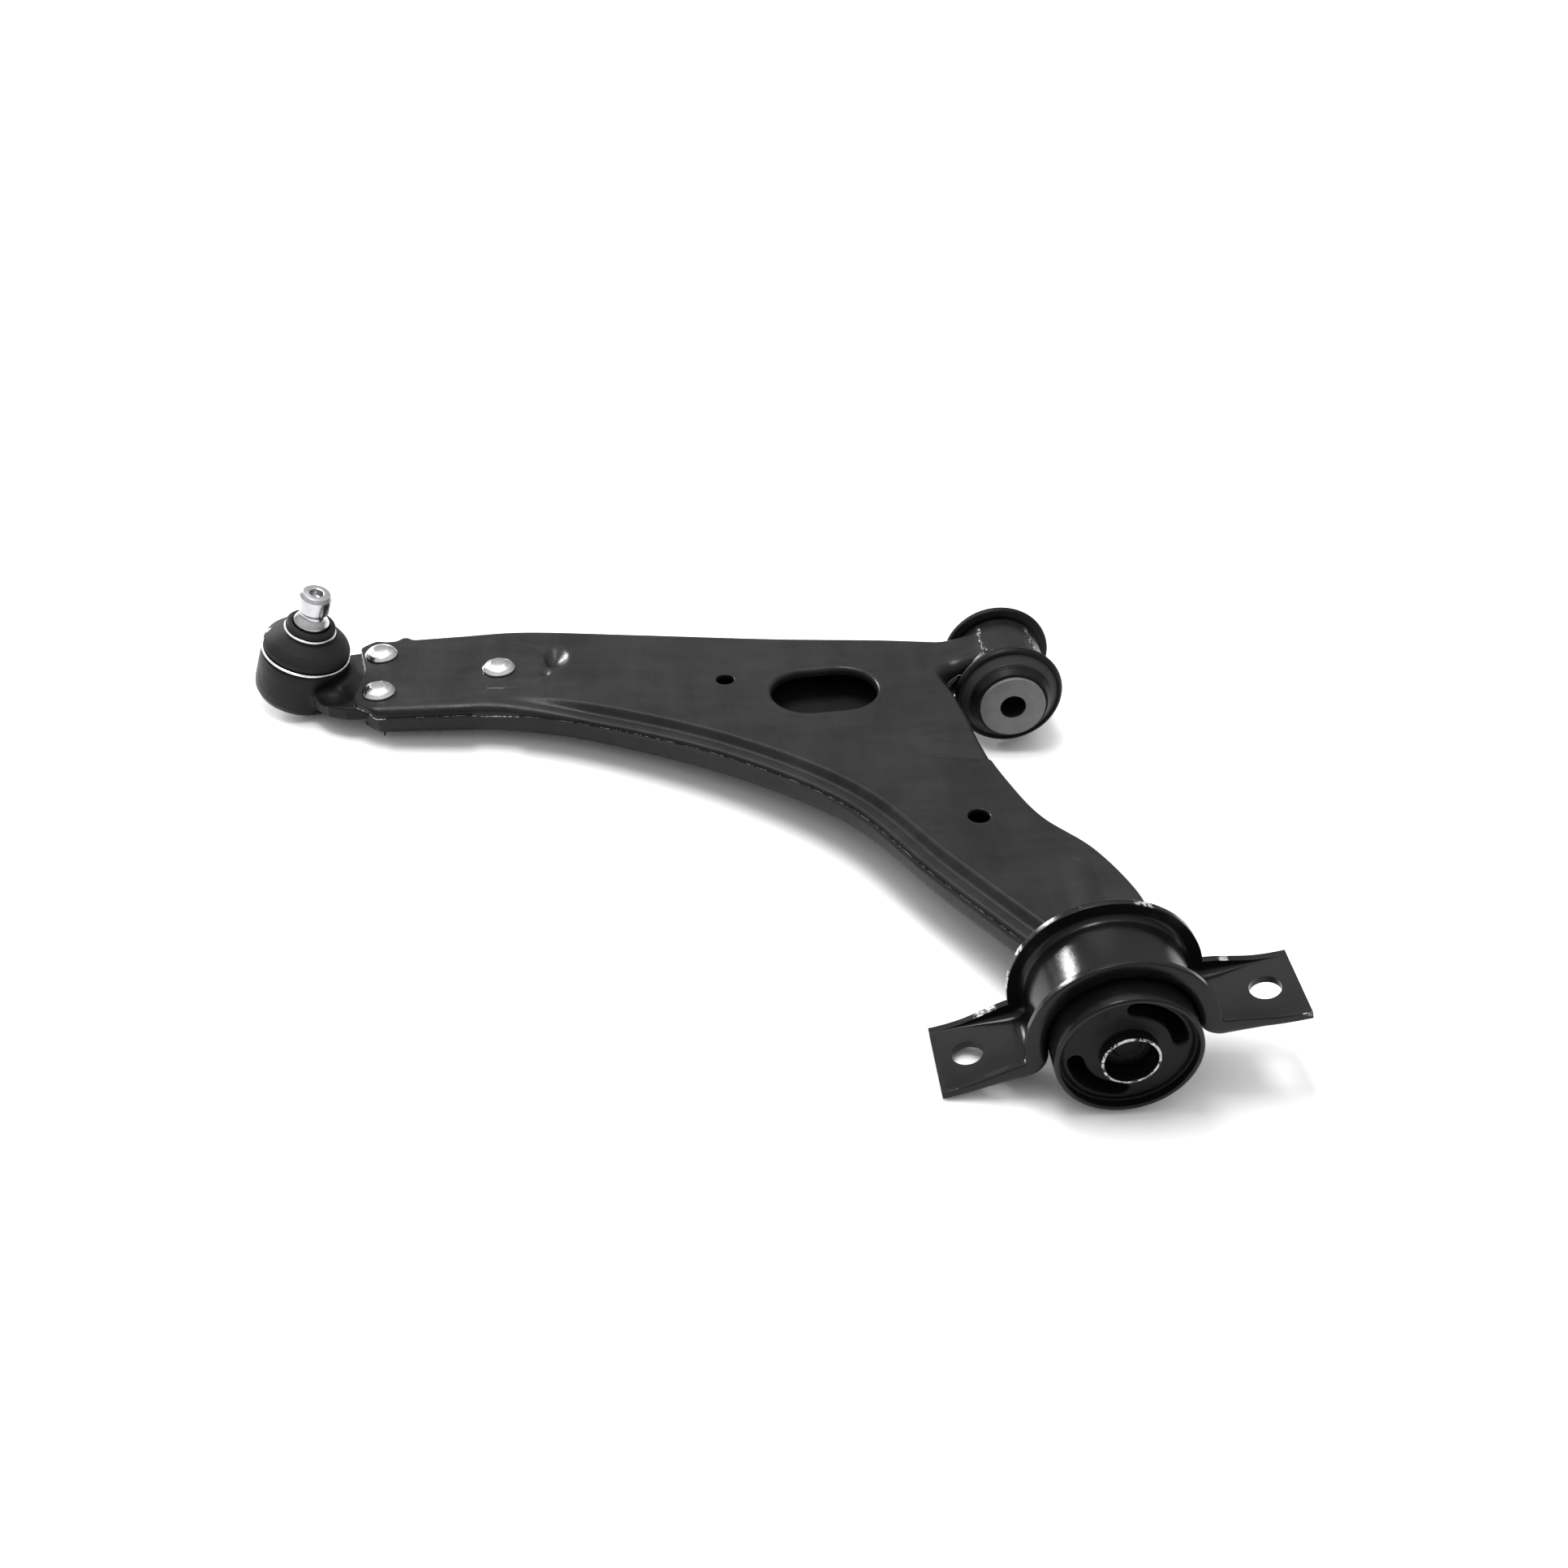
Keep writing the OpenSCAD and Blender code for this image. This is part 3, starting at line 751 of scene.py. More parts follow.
def hole_rims(verts, hole_ids, depth):
    """Walls that carry a hole's edge down by depth."""
    new, triangles, next_id = [], [], len(verts)
    for ids, deep in zip(hole_ids, depth):
        ring = verts[ids].copy()
        ring[:, 2] -= deep
        below = np.arange(next_id, next_id + len(ids))
        next_id += len(ids)
        new.append(ring)
        triangles += strip(below, ids)
    return np.vstack([verts, *new]), np.array(triangles)


def hug_tube(verts):
    """Tucks what lies inside the eye tube into its wall."""
    r = np.hypot(verts[:, 0], verts[:, 2])
    hold = EYE_R - 1.2
    inside = (r < hold) & (abs(verts[:, 1]) < 19)
    verts[inside, 0] *= hold / r[inside]
    verts[inside, 2] *= hold / r[inside]
    return verts


def top_shell():
    loops = [h for h in cad_loops("top_shell", 2, TOP_Z)[1:] if 20 < loop_length(h) < 200]
    holes = [relax(even(counter_clockwise(h), 1.2), 2) for h in loops]
    big = int(np.argmax([loop_length(h) for h in holes]))
    # Each hole with the width and depth of its rolled edge
    rolls = [(h, 2.8, 2.7) if i == big else (h, 0.7, 0.6) for i, h in enumerate(holes)]
    radius = bend_radius()
    normal = inward(OUTLINE)
    edge = OUTLINE + normal * radius[:, None]
    rows = [OUTLINE[NEAR] + normal[NEAR] * d for d in np.arange(3.2, 15, 0.9)]
    rows += [edge + normal * d for d in (1.0, 2.2)]
    for h, roll, _ in rolls:
        steps = np.linspace(0, roll, 6)[1:].tolist() + [roll + 1.2, roll + 2.4, roll + 3.6]
        rows += [h - inward(h) * d for d in steps]
    slit_x = np.arange(SLIT[0, 0] - 2, SLIT[1, 0] + 2, 0.8)
    slit_y = SLIT[0, 1] + 0.25
    rows += [np.column_stack([slit_x, np.full(len(slit_x), slit_y + d)]) for d in np.arange(-2.4, 2.5, 0.6)]
    oval = unit(np.arange(0, 2 * math.pi, 0.12)) * (7, 12)
    rows += [BOWL[0] + oval * k for k in (0.15, 0.3, 0.45, 0.6, 0.75, 0.9, 1.05)]
    plan, triangles = fill(edge, holes, np.vstack(rows), 1.7)
    verts = np.column_stack([plan, panel_height(plan, rolls)])
    low = np.where(OUTLINE[:, 0] < -300, 7.6, 6.9) + 0.25 * np.sin(OUTLINE[:, 0] / 9)
    low[at_nose(OUTLINE)] = TOP_Z - SHEET
    verts, strips = wall_strips(verts, OUTLINE, radius, relax(low, 2))
    foot = range(len(verts) - len(edge), len(verts))
    hole_ids, first = [], len(edge)
    for h in holes:
        hole_ids.append(np.arange(first, first + len(h)))
        first += len(h)
    verts, rims = hole_rims(verts, hole_ids, [2.0 if i == big else 0.4 for i in range(len(holes))])
    verts, faces, rim = thicken(verts, np.vstack([triangles, strips, rims]))
    wear_and_painted_light = np.zeros(len(verts))
    wear_and_painted_light[len(verts) // 2:] = -1
    # The burr at the foot of the wall: worn bare steel, painted pale as a painted highlight along the sheared
    # edge.
    wear_and_painted_light[[i for side in rim for i in side if i in foot]] = 1
    add_piece("upper_shell", (hug_tube(verts), faces), "arm", "black_paint", ["top_shell"], wear_and_painted_light)


def clear_of(verts, triangles, x_limit, y_limit):
    """The triangles that aren't both to the left of x_limit and beyond y_limit."""
    x, y = verts[triangles].mean(1)[:, :2].T
    return triangles[~((x < x_limit) & (y > y_limit))]


def bottom_shell():
    outline = OUTLINE + inward(OUTLINE) * (SHEET + 0.05)
    radius = np.full(len(outline), 6.0)
    edge = outline + inward(outline) * radius[:, None]
    rows = np.vstack([edge + inward(outline) * d for d in (1.2, 2.6)])
    plan, triangles = fill(edge, [], rows, 2.4)
    x, y = plan[:, 0], plan[:, 1]
    depth = 11 - 5 * smooth((-150 - x) / 215)
    # Pressed-up seat under the ball joint plate, wider on its far side
    far = y > SEAT_Y
    reach = 25 + 30 * smooth((-330 - x) / 15) * far
    seat = np.maximum(abs(x - SEAT_X) - 56 - 10 * far, abs(y - SEAT_Y) - reach)
    depth -= (depth + 0.6) * (1 - smooth((seat + 1) / 6))
    depth += pin_bulge(plan, depth, 0.6)
    verts = np.column_stack([plan, depth])
    verts, strips = wall_strips(verts, outline, radius, np.full(len(edge), -5.8))
    # The channel is open at the nose, and stops short of the plate beyond its near side
    strips = clear_of(verts, strips, -363, -27)
    skin = clear_of(verts, np.vstack([triangles, strips]), -352, -8)
    verts, faces, _ = thicken(verts, skin)
    verts[:, 2] *= -1
    wear_and_painted_light = np.zeros(len(verts))
    wear_and_painted_light[len(verts) // 2:] = -1
    solid = (hug_tube(verts), [f[::-1] for f in faces])
    add_piece("lower_shell", solid, "arm", "black_paint", ["bottom_shell"], wear_and_painted_light)


top_shell()
bottom_shell()


# ---------- Front eye and bush ----------

ALONG_Y = axis_matrix((0, 0, 0), (0, 1, 0))
EYE_LEN = cad_box("front_eye_tube")[1][1] * 2
FRONT_END = cad_box("front_bush_core")[1][1]
DISC_R = cad_box("front_bush_core")[1][2]
FLANGE_R = cad_box("front_bush_rubber")[1][2]
CORE_R, BORE_R = 14.0, 7.25


def bead(path, radius, seed, sides=10):
    """A rippled weld bead along a polyline in space, with tapering ends."""
    rng = np.random.default_rng(seed)
    path = np.asarray(path, float)
    ripple = 1 + 0.09 * np.sin(np.arange(len(path)) * 1.9) + 0.05 * rng.standard_normal(len(path))
    taper = np.sqrt(np.clip(np.minimum(np.arange(len(path)), np.arange(len(path))[::-1]) / 4, 0.04, 1))
    circle = np.column_stack([unit(np.arange(sides) * 2 * math.pi / sides), np.zeros(sides)])
    rings = []
    for i, p in enumerate(path):
        ahead = path[min(i + 1, len(path) - 1)] - path[max(i - 1, 0)]
        m = axis_matrix(p, ahead, (0.3, 0.2, 0.9))
        rings.append(circle * radius * ripple[i] * taper[i] @ m[:3, :3].T + p)
    return sweep(rings)


def droplet(place, radius):
    """A small ball of weld spatter."""
    arc = unit(np.linspace(-math.pi / 2, math.pi / 2, 7)) * radius
    return placed(lathe(arc, 10), axis_matrix(place, (0, 0, 1)))


def on_tube(angle, y, r):
    """Point at radius r about the eye's axis: angle from the top towards +X, in degrees."""
    a = math.radians(angle)
    return np.array([r * math.sin(a), y, r * math.cos(a)])


def front_eye():
    half = EYE_LEN / 2
    tube = [(EYE_R - 3, -half, 0.5), (EYE_R, -half, 0.8), (EYE_R, half, 0.8), (EYE_R - 3, half, 0.5)]
    add_piece("eye_tube", turned(tube, ALONG_Y, 144), "arm", "black_paint", ["front_eye_tube"])
    upper = [on_tube(-31.5 + 0.8 * math.sin(k * 0.7), y, EYE_R - 0.9)
             for k, y in enumerate(np.linspace(-17.5, 17, 44))]
    lower = [on_tube(180 + 27, y, EYE_R + 0.2) for y in np.linspace(-15, 15, 40)]
    seam = [on_tube(38 + 2.2 * math.sin(k * 0.45), y, EYE_R - 0.55)
            for k, y in enumerate(np.linspace(-17.5, 17.8, 46))]
    solids = [bead(upper, 1.7, 3), bead(lower, 2.6, 4), bead(seam, 1.25, 5)]
    rng = np.random.default_rng(11)
    for _ in range(26):
        place = on_tube(rng.normal(36, 5), rng.uniform(-17, 17), EYE_R)
        solids.append(droplet(place, rng.uniform(0.25, 0.7)))
    for _ in range(14):
        place = on_tube(rng.normal(-27, 4), rng.normal(-15.5, 1.5), EYE_R)
        solids.append(droplet(place, rng.uniform(0.25, 0.75)))
    weld = join(*solids)
    wear_and_painted_light = (rng.random(len(weld[0])) > 0.75) * 0.8
    add_piece("eye_welds", weld, "arm", "weld_metal", ["front_eye_welds"], wear_and_painted_light)


def about_y(solid):
    """Radius and distance along Y of a solid's points."""
    return np.hypot(solid[0][:, 0], solid[0][:, 2]), abs(solid[0][:, 1])


def front_bush():
    half = EYE_LEN / 2
    end = FRONT_END
    side = [(EYE_R - 5, 0), (EYE_R - 5, half), (FLANGE_R - 4, half, 0.6), (FLANGE_R - 0.8, half + 0.9, 1.2),
            (FLANGE_R, half + 3.2, 1.6), (FLANGE_R - 1.4, half + 5.6, 1.6), (FLANGE_R - 2.9, half + 5.7, 0.8),
            (FLANGE_R - 3.2, half + 5.0, 0.5), (FLANGE_R - 3.9, half + 5.1, 0.6),
            (DISC_R + 4.7, half + 8.8, 1.6), (DISC_R + 4.5, end - 6.6, 0.9), (DISC_R + 3.7, end - 5.6, 0.8),
            (DISC_R + 1.7, end - 1.9, 1.2), (DISC_R + 0.5, end - 2.0, 0.3), (DISC_R + 0.4, end - 5.9),
            (CORE_R + 0.05, end - 5.9)]
    outer = rounded(side, steps=6)
    profile = np.vstack([outer, (outer * [1, -1])[::-1]])
    solid = placed(lathe(profile, 144, closed=True), ALONG_Y)
    r, y = about_y(solid)
    # Painted light: the dish of the flange face is painted lighter, as its lit face.
    painted_light_dish = smooth((r - DISC_R - 4.4) / 0.8) * smooth((FLANGE_R - 3.3 - r) / 0.8) * (y > half + 4.8)
    add_piece("front_rubber", solid, "arm", "bush_rubber", ["front_bush_rubber"], painted_light_dish * 0.9)
    one_end = [(CORE_R, end - 5.5, 0.6), (DISC_R, end - 5.5, 0.4), (DISC_R, end, 0.5), (BORE_R, end, 0.5)]
    other_end = [(radius, -y, corner) for radius, y, corner in one_end[::-1]]
    solid = turned(other_end + one_end, ALONG_Y, 144, steps=3)
    r, y = about_y(solid)
    # Painted shade: the inside of the bore is marked -1, which paints it near-black.
    bore = (r < BORE_R + 0.15) & (y < end - 0.4)
    add_piece("front_core", solid, "front_core", "phosphated_steel", ["front_bush_core"], -1.0 * bore)


# ---------- Pin and rear bush ----------

RING_LOW, RING_HIGH = cad_box("rear_bush_outer_sleeve")
RING_R = RING_HIGH[0]
RING_IN_R = RING_R - 2.5
PIN_R = cad_box("pivot_pin")[1][0]
SLEEVE_R = cad_box("rear_bush_inner_sleeve")[1][0]
RUBBER_FRONT_Y = cad_box("rear_bush_rubber")[0][1]
RUBBER_BACK_Y = cad_box("rear_bush_rubber")[1][1]
# Local Z of the rear end runs to the rear, and its local X stays +X
REARWARD = axis_matrix((0, 0, 0), (0, -1, 0))


def rear_lathes():
    back, front = -RING_HIGH[1], -RING_LOW[1]
    ring = [(RING_IN_R, back, 0.5), (RING_R, back, 1.0), (RING_R, front, 1.3), (RING_IN_R, front, 0.8)]
    add_piece("rear_ring", turned(ring, REARWARD, 168), "rear_mount", "bracket_paint",
              ["rear_bush_outer_sleeve"])
    low, high = cad_box("rear_bush_inner_sleeve")
    tube = [(PIN_R, -high[1], 0.2), (SLEEVE_R, -high[1], 0.3), (SLEEVE_R, -low[1] - 0.8),
            (SLEEVE_R, -low[1], 0.35), (PIN_R, -low[1], 0.45), (PIN_R, -low[1] - 0.9)]
    solid = turned(tube, REARWARD)
    face = (solid[0][:, 1] < low[1] + 0.5) & (about_y(solid)[0] > PIN_R + 0.3)
    add_piece("rear_sleeve", solid, "arm", "bracket_paint", ["rear_bush_inner_sleeve"], face * 0.9)
    low, high = cad_box("pivot_pin")
    pin = [(0, -high[1]), (PIN_R, -high[1], 1.0), (PIN_R, -low[1], 1.6), (7, -low[1], 0.5),
           (6, -low[1] - 1.2, 0.5), (0, -low[1] - 1.2)]
    add_piece("pin", turned(pin, REARWARD, 96, closed=False), "arm", "forged_black", ["pivot_pin"])
    weld_r = PIN_R + 0.9
    ring = [(math.cos(a) * weld_r, SHELL_REAR_Y - 0.9, math.sin(a) * weld_r)
            for a in np.linspace(0, 2 * math.pi, 90)]
    add_piece("pin_weld", bead(ring, 1.9, 8), "arm", "weld_metal", ["pivot_pin_weld"])


def rear_rubber():
    """The rubber between sleeve and ring, with its two kidney voids moulded right through."""
    loops = [counter_clockwise(h) for h in cad_loops("rear_bush_rubber", 1, RUBBER_FRONT_Y)]
    outer = relax(even(loops[0], 1.5), 1)
    kidneys = [relax(even(h, 1.1), 2) for h in loops[1:3]]
    bore = relax(even(loops[3], 1.2), 1)
    rows = [outer * ((RING_IN_R - d) / RING_IN_R) for d in (0.7, 1.5, 2.3, 3.2, 4.2)]
    rows += [bore * ((SLEEVE_R + d) / SLEEVE_R) for d in (0.7, 1.5, 2.4, 3.4)]
    for h in kidneys:
        rows += [h - inward(h) * d for d in (0.5, 1.1, 1.8)]
    plan, triangles = fill(outer, [*kidneys, bore], np.vstack(rows), 1.6)
    r = np.hypot(*plan.T)
    depth = 0.9 * np.exp(-((RING_R - 3.6 - r) / 0.9) ** 2) - 1.3 * np.exp(-((r - SLEEVE_R - 0.3) / 1.8) ** 2)
    for h in kidneys:
        away = distance_to(plan, h)
        depth += 1.1 * (1 - np.sqrt(1 - np.clip(1 - away / 1.8, 0, 1) ** 2))
    # Small round marks of the mould: angle, radius and height
    for angle, reach, high in ((20, 24.5, -0.8), (222, 23.5, -0.8), (118, 24.0, 0.9)):
        away = np.hypot(*(plan - unit(math.radians(angle)) * reach).T)
        depth += high * (1 - smooth((away - 0.6) / 1.4))
    front = np.column_stack([plan[:, 0], RUBBER_FRONT_Y + depth, plan[:, 1]])
    back = np.column_stack([plan[:, 0], RUBBER_BACK_Y - 0.5 * depth, plan[:, 1]])
    verts, faces, _ = closed_sheet(front, back, triangles)
    add_piece("rear_rubber", (verts, faces), "rear_mount", "bush_rubber", ["rear_bush_rubber"],
              np.zeros(len(verts)))


# ---------- Rear bracket ----------

STRAP = 4.0
EAR_REACH = 85.5
EAR_TOP = -9.0
ROLL = 12.5
SADDLE_NEAR_Y, SADDLE_FAR_Y = cad_box("rear_bracket")[0][1], cad_box("rear_bracket")[1][1]
EAR_HOLE_X, EAR_HOLE_R = 70.0, 7.5
ARCH_FILLET = 7.5


def bracket_path():
    """Points and outward normals of the strap's upper face, from the left ear to the right."""
    arch = RING_R + STRAP
    corner_z = EAR_TOP + ARCH_FILLET
    corner_x = math.sqrt((arch + ARCH_FILLET) ** 2 - corner_z ** 2)
    toe = math.atan2(corner_z, corner_x)
    ear_x = np.linspace(-EAR_REACH, -corner_x, 22)[:-1]
    bend = unit(np.linspace(-math.pi / 2, -toe, 16)[:-1])
    crown = unit(np.linspace(math.pi - toe, toe, 85))
    points = np.vstack([np.column_stack([ear_x, np.full(len(ear_x), EAR_TOP)]),
                        bend * ARCH_FILLET + (-corner_x, corner_z)])
    normals = np.vstack([[(0, 1)] * len(ear_x), -bend])
    mirror = np.array([-1, 1])
    return (np.vstack([points, crown * arch, points[::-1] * mirror]),
            np.vstack([normals, crown, normals[::-1] * mirror]))


def bracket_section(near, far):
    """Section across the strap: (distance along Y from the near face, height over the strap)."""
    width = SADDLE_FAR_Y - SADDLE_NEAR_Y
    t, e = STRAP, 0.35
    low_near, low_far = 6.5 * min(1, near / 6), 6.5 * min(1, far / 6)
    up_near, up_far = min(3.0, near) + 0.02, min(3.6, far) + 0.02
    return rounded([(e, near, 0.4), (t - 0.3, near, 0.4), (t - 0.2, 0, up_near),
                    (width - t + 0.2, 0, up_far), (width - t + 0.3, far, 0.4), (width - e, far, 0.4),
                    (width, far - 0.5 * min(1, far), 0.2), (width, -t, low_far + 0.3),
                    (0, -t, low_near + 0.3), (0, near - 0.5 * min(1, near), 0.2)],
                   closed=True, steps=6)


def rear_bracket():
    points, normals = bracket_path()
    along = np.r_[0, np.cumsum(np.linalg.norm(np.diff(points, axis=0), axis=1))]
    total = along[-1]
    from_end = np.minimum(along, total - along)
    ear = EAR_REACH - 45
    grow = smooth(from_end / ear) * 0.55 + 0.45 * smooth((from_end - 0.35 * ear) / (0.9 * ear))
    rng = np.random.default_rng(5)
    ragged = np.convolve(rng.standard_normal(len(along) + 6), np.ones(3) / 3, "same")[3:-3] * 0.12
    patches = np.convolve(rng.standard_normal(len(along) + 8), np.ones(5) / 2.2, "same")[4:-4]
    patches = smooth((patches - 0.45) / 0.9)
    near_side = bracket_section(1.0, 1.0)[:, 0] < 0.5
    rings, wear_and_painted_light = [], []
    for p, n, g, w, patch in zip(points, normals, grow, ragged, patches):
        across, up = bracket_section(max(0.02, 6.9 * g + w * g), max(0.02, 8.2 * g + w * g)).T
        rings.append(np.column_stack([p[0] + n[0] * up, SADDLE_NEAR_Y + across, p[1] + n[1] * up]))
        # Worn along the flanges' tops, and on the ears only along the near edge
        crest = np.exp(-((up - max(up)) / 0.3) ** 2)
        wear_and_painted_light.append(0.8 * patch * crest * (near_side | (g > 0.25)))
    tilt = np.array(Matrix.Rotation(math.radians(-ROLL), 4, "Y"))
    piece = add_piece("saddle_bracket", placed(sweep(rings), tilt), None, "bracket_paint",
                      ["rear_bracket"], np.concatenate(wear_and_painted_light))
    for side in (-1, 1):
        drill = [(0, -30), (EAR_HOLE_R, -30), (EAR_HOLE_R, 30), (0, 30)]
        place = tilt @ np.array([side * EAR_HOLE_X, (SADDLE_NEAR_Y + SADDLE_FAR_Y) / 2, EAR_TOP, 1])
        solid = turned(drill, axis_matrix(place[:3], tilt[:3, 2]), 64, closed=False)
        cutter = new_object("cutter", mesh_of("cutter", solid))
        hole = piece.modifiers.new("hole", "BOOLEAN")
        hole.object, hole.operation, hole.solver = cutter, "DIFFERENCE", "EXACT"
        apply_modifiers(piece)
        bpy.data.objects.remove(cutter)
    piece.data.set_sharp_from_angle(angle=math.radians(38))
    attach(piece, "rear_mount")


# ---------- Ball joint ----------

BALL = np.array(joint("stud_spin")["pos_m"]) / MM
STUD_AXIS = np.array(joint("stud_spin")["axis"], float)
BALL_R = 13.5
BALL_DROP = 14.0
ON_STUD = axis_matrix(BALL + STUD_AXIS * BALL_DROP, STUD_AXIS)
PLATE_TOP = TOP_Z - SHEET
PLATE_LOW = PLATE_TOP - 8
RIVETS = [(-358, 28.5), (-356, -11), (-290, 8)]


# Half section of the forged cup as (radius, height), and the plate's outline in plan
CUP = np.array([(-5, -30.5), (19, -30.5), (22.4, -28.8), (24.3, -25.5), (24.7, -21), (24.4, -7),
                (24, -2.2), (22.8, -1.2), (20.4, -1.2), (20.4, 1.6), (-5, 1.6)])
PLATE = np.array([(-285, 4), (-285, 12), (-300, 24), (-345, 38), (-368, 37), (-388, 33), (-396, 15),
                  (-392, -10), (-384, -18), (-374, -22), (-345, -22.5), (-300, -10)], float)
PLATE_EDGE = 0.8


def housing_sdf(p):
    """Distance from the forged housing with its plate."""
    local = (p - ON_STUD[:3, 3]) @ ON_STUD[:3, :3]
    radius, height = np.hypot(local[:, 0], local[:, 1]), local[:, 2]
    body = polygon_distance(np.stack([radius, height], 1), CUP) - 0.4
    beyond = polygon_distance(p[:, :2], PLATE) + PLATE_EDGE
    above = abs(p[:, 2] - (PLATE_TOP + PLATE_LOW) / 2) - (PLATE_TOP - PLATE_LOW) / 2 + PLATE_EDGE
    rounded_edge = np.hypot(np.maximum(beyond, 0), np.maximum(above, 0))
    plate = np.where((beyond > 0) & (above > 0), rounded_edge, np.maximum(beyond, above)) - PLATE_EDGE
    pocket = np.linalg.norm((p - [-381.5, -9.5, PLATE_TOP + 1.8]) / [10.5, 8.5, 5.4], axis=1) - 1
    solid = soft_cut(soft_union(body, plate, 5.5), pocket * 6, 1.2)
    bore = np.maximum(np.maximum(radius - 17.5, -(height + 60)), height + 7)
    funnel = np.maximum(radius - 15.2 - np.maximum(height + 7, 0) * 0.35, -height - 9)
    return soft_cut(soft_cut(solid, bore, 0.6), funnel, 0.6)


def housing():
    low, high = cad_box("ball_joint_housing")
    low, high = low - 3, high + 3
    # The plate goes on between the shells, where it can't be seen
    high[0] = -340.0
    forging = iso_surface(housing_sdf, low, high, 0.9)
    add_piece("housing", forging, "arm", "forged_black", ["ball_joint_housing"], sharp=60)


def stud_and_rings():
    ball = unit(np.linspace(-1.35, 0.98, 24)) * BALL_R - (0, BALL_DROP)
    neck = [(7.2, -1.5, 1.5), (8.3, 11, 2), (9.3, 17.4, 2.5), (9.85, 19.4, 1.5), (9.85, 21.3, 1.6)]
    waist = [(8.5, 23.2, 1.5), (6.9, 25.1, 2), (6.5, 26.6, 1.5), (6.8, 28.2, 0.6), (8.5, 28.8, 0.5)]
    shank = [(9, 29.8, 0.5), (9, 38.3, 0.5), (7.4, 40.3, 0.4)]
    socket = [(4.2, 40.5, 0.3), (3.6, 40.1, 0.3), (3.2, 36.5, 0.3), (0, 36.0)]
    stud = [(0, 0.3 - BALL_R - BALL_DROP), *ball, *neck, *waist, *shank, *socket]
    add_piece("stud", turned(stud, ON_STUD, closed=False), "stud", "zinc_steel", ["ball_stud"])
    wire = unit(np.arange(14) * 2 * math.pi / 14) * 0.78
    for name, place, body, node in (("lower_ring", (23.9, 0.0), "arm", "boot_ring_lower"),
                                    ("upper_ring", (13.6, 15.6), "boot_top", "boot_ring_upper")):
        add_piece(name, turned(wire + place, ON_STUD, 144), body, "ring_wire", [node])


def boot():
    """The dust boot, in two rings that meet at its fold."""
    outside = [(20.7, -1.0), (22.9, -1.0, 0.6), (22.9, 1.2, 0.7), (23.9, 2.3, 1.0), (24.1, 4.4, 1.5),
               (23.0, 6.9, 2.5), (20.6, 9.4, 4), (16.9, 11.9, 4), (14.0, 13.5, 2), (12.6, 14.8, 0.8),
               (12.6, 16.3, 0.6), (13.8, 17.0, 0.8), (13.7, 18.8, 1.0), (12.6, 19.7, 0.8),
               (11.2, 19.9, 0.5), (10.3, 19.6, 0.4)]
    inside = [(10.3, 14.4, 1), (12.9, 12.2, 2), (17.7, 8.6, 3), (20.9, 6.0, 1.5), (21.7, 4.2, 1),
              (21.2, 3.0, 0.8), (20.7, 2.0)]
    fold = 8.0
    verts, faces = turned(outside + inside, ON_STUD, 132, steps=6)
    height = (verts - ON_STUD[:3, 3]) @ STUD_AXIS
    face_height = np.array([height[f].mean() for f in faces])
    # A small pale spot on the boot's upper left.
    pale_spot_place = ON_STUD[:3, 3] + [-19.5, 1.0, 14.2]
    away = np.linalg.norm((verts - pale_spot_place) / [2.6, 2.2, 2.2], axis=1)
    pale_spot = 3.0 * smooth((1.25 - away) / 0.5)
    for name, keep, bodies, start, end in (
            ("boot_lower", face_height <= fold, ("arm", "boot"), 1.5, fold - 0.4),
            ("boot_upper", face_height > fold, ("boot", "boot_top"), fold + 0.4, 13.5)):
        chosen = [f for f, k in zip(faces, keep) if k]
        used = sorted({i for f in chosen for i in f})
        new_index = {old: new for new, old in enumerate(used)}
        solid = (verts[used], [[new_index[i] for i in f] for f in chosen])
        piece = add_piece(name, solid, None, "boot_rubber", ["dust_boot"], pale_spot[used], sharp=60)
        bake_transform(piece)


def rivets():
    foot = cad_box("rivets")[0][2]
    head = [(0, TOP_Z + 4.7), (4.2, TOP_Z + 4.35, 3), (7.6, TOP_Z + 2.7, 3), (9.35, TOP_Z + 0.9, 0.8),
            (9.35, TOP_Z + 0.05, 0.3), (5.5, TOP_Z - 0.2)]
    tail = [(5.5, foot + 3.3), (8.0, foot + 3.2, 0.3), (7.9, foot + 2.4, 0.6), (4.6, foot + 0.5, 3),
            (0, foot)]
    solids = [turned((head + tail)[::-1], axis_matrix((x, y, 0), (0, 0, 1)), 72, closed=False, steps=6)
              for x, y in RIVETS]
    add_piece("rivet_heads", join(*solids), "arm", "rivet_zinc", ["rivets"])


def cap():
    level = -31.0
    disc = [(0, level - 1.8), (4.4, level - 1.8, 0.6), (5.8, level - 0.2, 0.8), (15.8, level, 0.4),
            (16.4, level - 0.5, 0.3), (17.3, level - 0.4, 0.3), (17.45, level + 0.4, 0.3),
            (17.45, level + 2.4), (0, level + 2.4)]
    add_piece("bottom_cap", turned(disc, ON_STUD, 96, closed=False), "arm", "zinc_steel", ["housing_cap"])


front_eye()
front_bush()
rear_lathes()
rear_rubber()
rear_bracket()
housing()
stud_and_rings()
boot()
rivets()
cap()

# Inner parts that keep their CAD shape
for node, slot in (("front_bush_outer_sleeve", "bush_steel"), ("ball_seat", "seat_plastic")):
    materials = frame["nodes"][node].data.materials
    materials.clear()
    materials.append(MATERIALS[slot])


# ---------- Camera, light and floor ----------

def look():
    scene = bpy.context.scene
    camera = new_object("camera", bpy.data.cameras.new("camera"))
    camera.location = (-0.20555, -0.90473, 0.58470)
    camera.rotation_euler = [math.radians(a) for a in (54.1255, -0.0707, -4.8975)]
    camera.data.sensor_width = 36
    camera.data.lens = 42.857
    camera.data.clip_start = 0.05
    scene.camera = camera
    scene.view_settings.view_transform = "Standard"


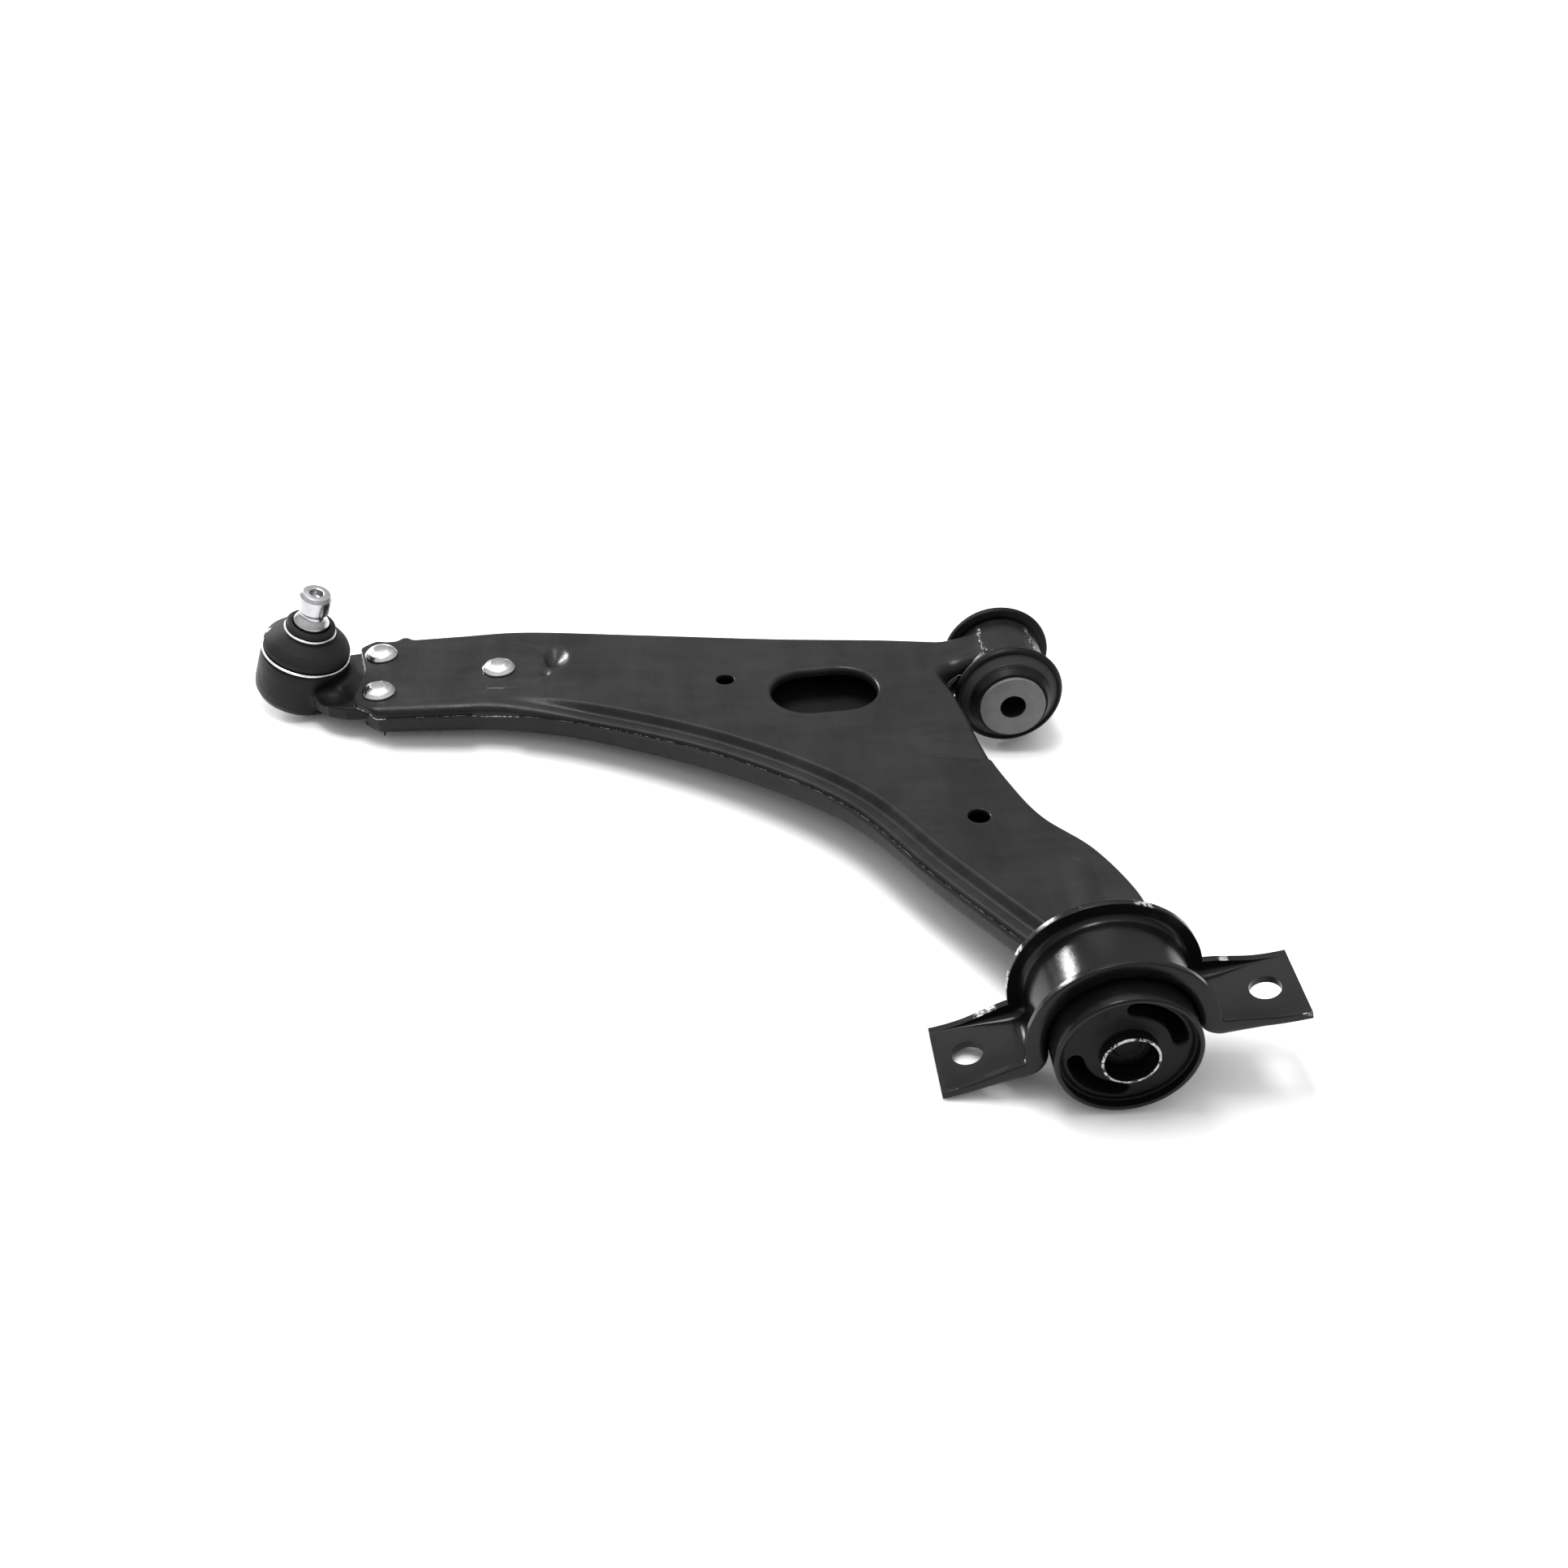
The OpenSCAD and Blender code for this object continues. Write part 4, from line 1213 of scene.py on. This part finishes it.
def area_light(name, place, target, size, power):
    data = bpy.data.lights.new(name, "AREA")
    data.shape = "RECTANGLE"
    data.size, data.size_y = size
    data.energy = power
    lamp = new_object(name, data)
    lamp.location = place
    lamp.rotation_euler = (Vector(target) - Vector(place)).to_track_quat("-Z", "Y").to_euler()


def studio():
    world = bpy.data.worlds.new("world")
    bpy.context.scene.world = world
    world.use_nodes = True
    tree = world.node_tree
    background = tree.nodes["Background"]
    background.inputs["Color"].default_value = (1, 1, 1, 1)
    direction = tree.nodes.new("ShaderNodeTexCoord")
    parts = tree.nodes.new("ShaderNodeSeparateXYZ")
    rise = tree.nodes.new("ShaderNodeMapRange")
    tree.links.new(direction.outputs["Generated"], parts.inputs[0])
    tree.links.new(parts.outputs["Z"], rise.inputs["Value"])
    for socket, value in (("From Min", 0.0), ("From Max", 0.7), ("To Min", 0.3), ("To Max", 0.95)):
        rise.inputs[socket].default_value = value
    tree.links.new(rise.outputs[0], background.inputs["Strength"])
    sky = bpy.data.lights.new("softbox", "SUN")
    sky.energy, sky.angle = 1.0, 1.15
    lamp = new_object("softbox", sky)
    lamp.rotation_euler = (math.radians(-14), math.radians(-6), 0)
    area_light("overhead", (-0.3, -0.05, 1.3), (-0.2, -0.05, 0), (0.65, 0.36), 12.5)
    area_light("back_left", (-1.35, 1.45, 0.72), (-0.05, -0.25, 0), (0.26, 0.5), 36)


def points_of(name):
    return np.array([v.co for v in bpy.data.objects[name].data.vertices])


def contact_plane():
    """A point and the upward normal of the surface that the arm rests on, in metres."""
    groups = [points_of("front_rubber"), points_of("saddle_bracket"),
              np.vstack([points_of("housing"), points_of("bottom_cap")])]
    normal = np.array([0.0, 0.0, 1.0])
    for _ in range(12):
        a, b, c = (g[np.argmin(g @ normal)] for g in groups)
        normal = np.cross(b - a, c - a)
        normal *= np.sign(normal[2]) / np.linalg.norm(normal)
    lowest = min((points_of(name) @ normal).min() for name in PIECES)
    return normal * (lowest - 0.0002), normal


def floor():
    """The surface the arm lies on, touching the front bush, the bracket and the ball joint."""
    place, normal = contact_plane()
    mesh = bpy.data.meshes.new("floor")
    half = 40.0
    corners = [(-half, -half, 0), (half, -half, 0), (half, half, 0), (-half, half, 0)]
    mesh.from_pydata(corners, [], [(0, 1, 2, 3)])
    plane = new_object("floor", mesh)
    plane.rotation_euler = Vector(normal).to_track_quat("Z", "Y").to_euler()
    plane.location = place
    s = Shader("floor_white", Roughness=0.6, Specular_IOR_Level=0.1)
    s.set("Base Color", s.colours(s.noise(3, 3), (0.9, 0.9, 0.9), (0.92, 0.92, 0.92)))
    mesh.materials.append(s.material)


look()
studio()
floor()
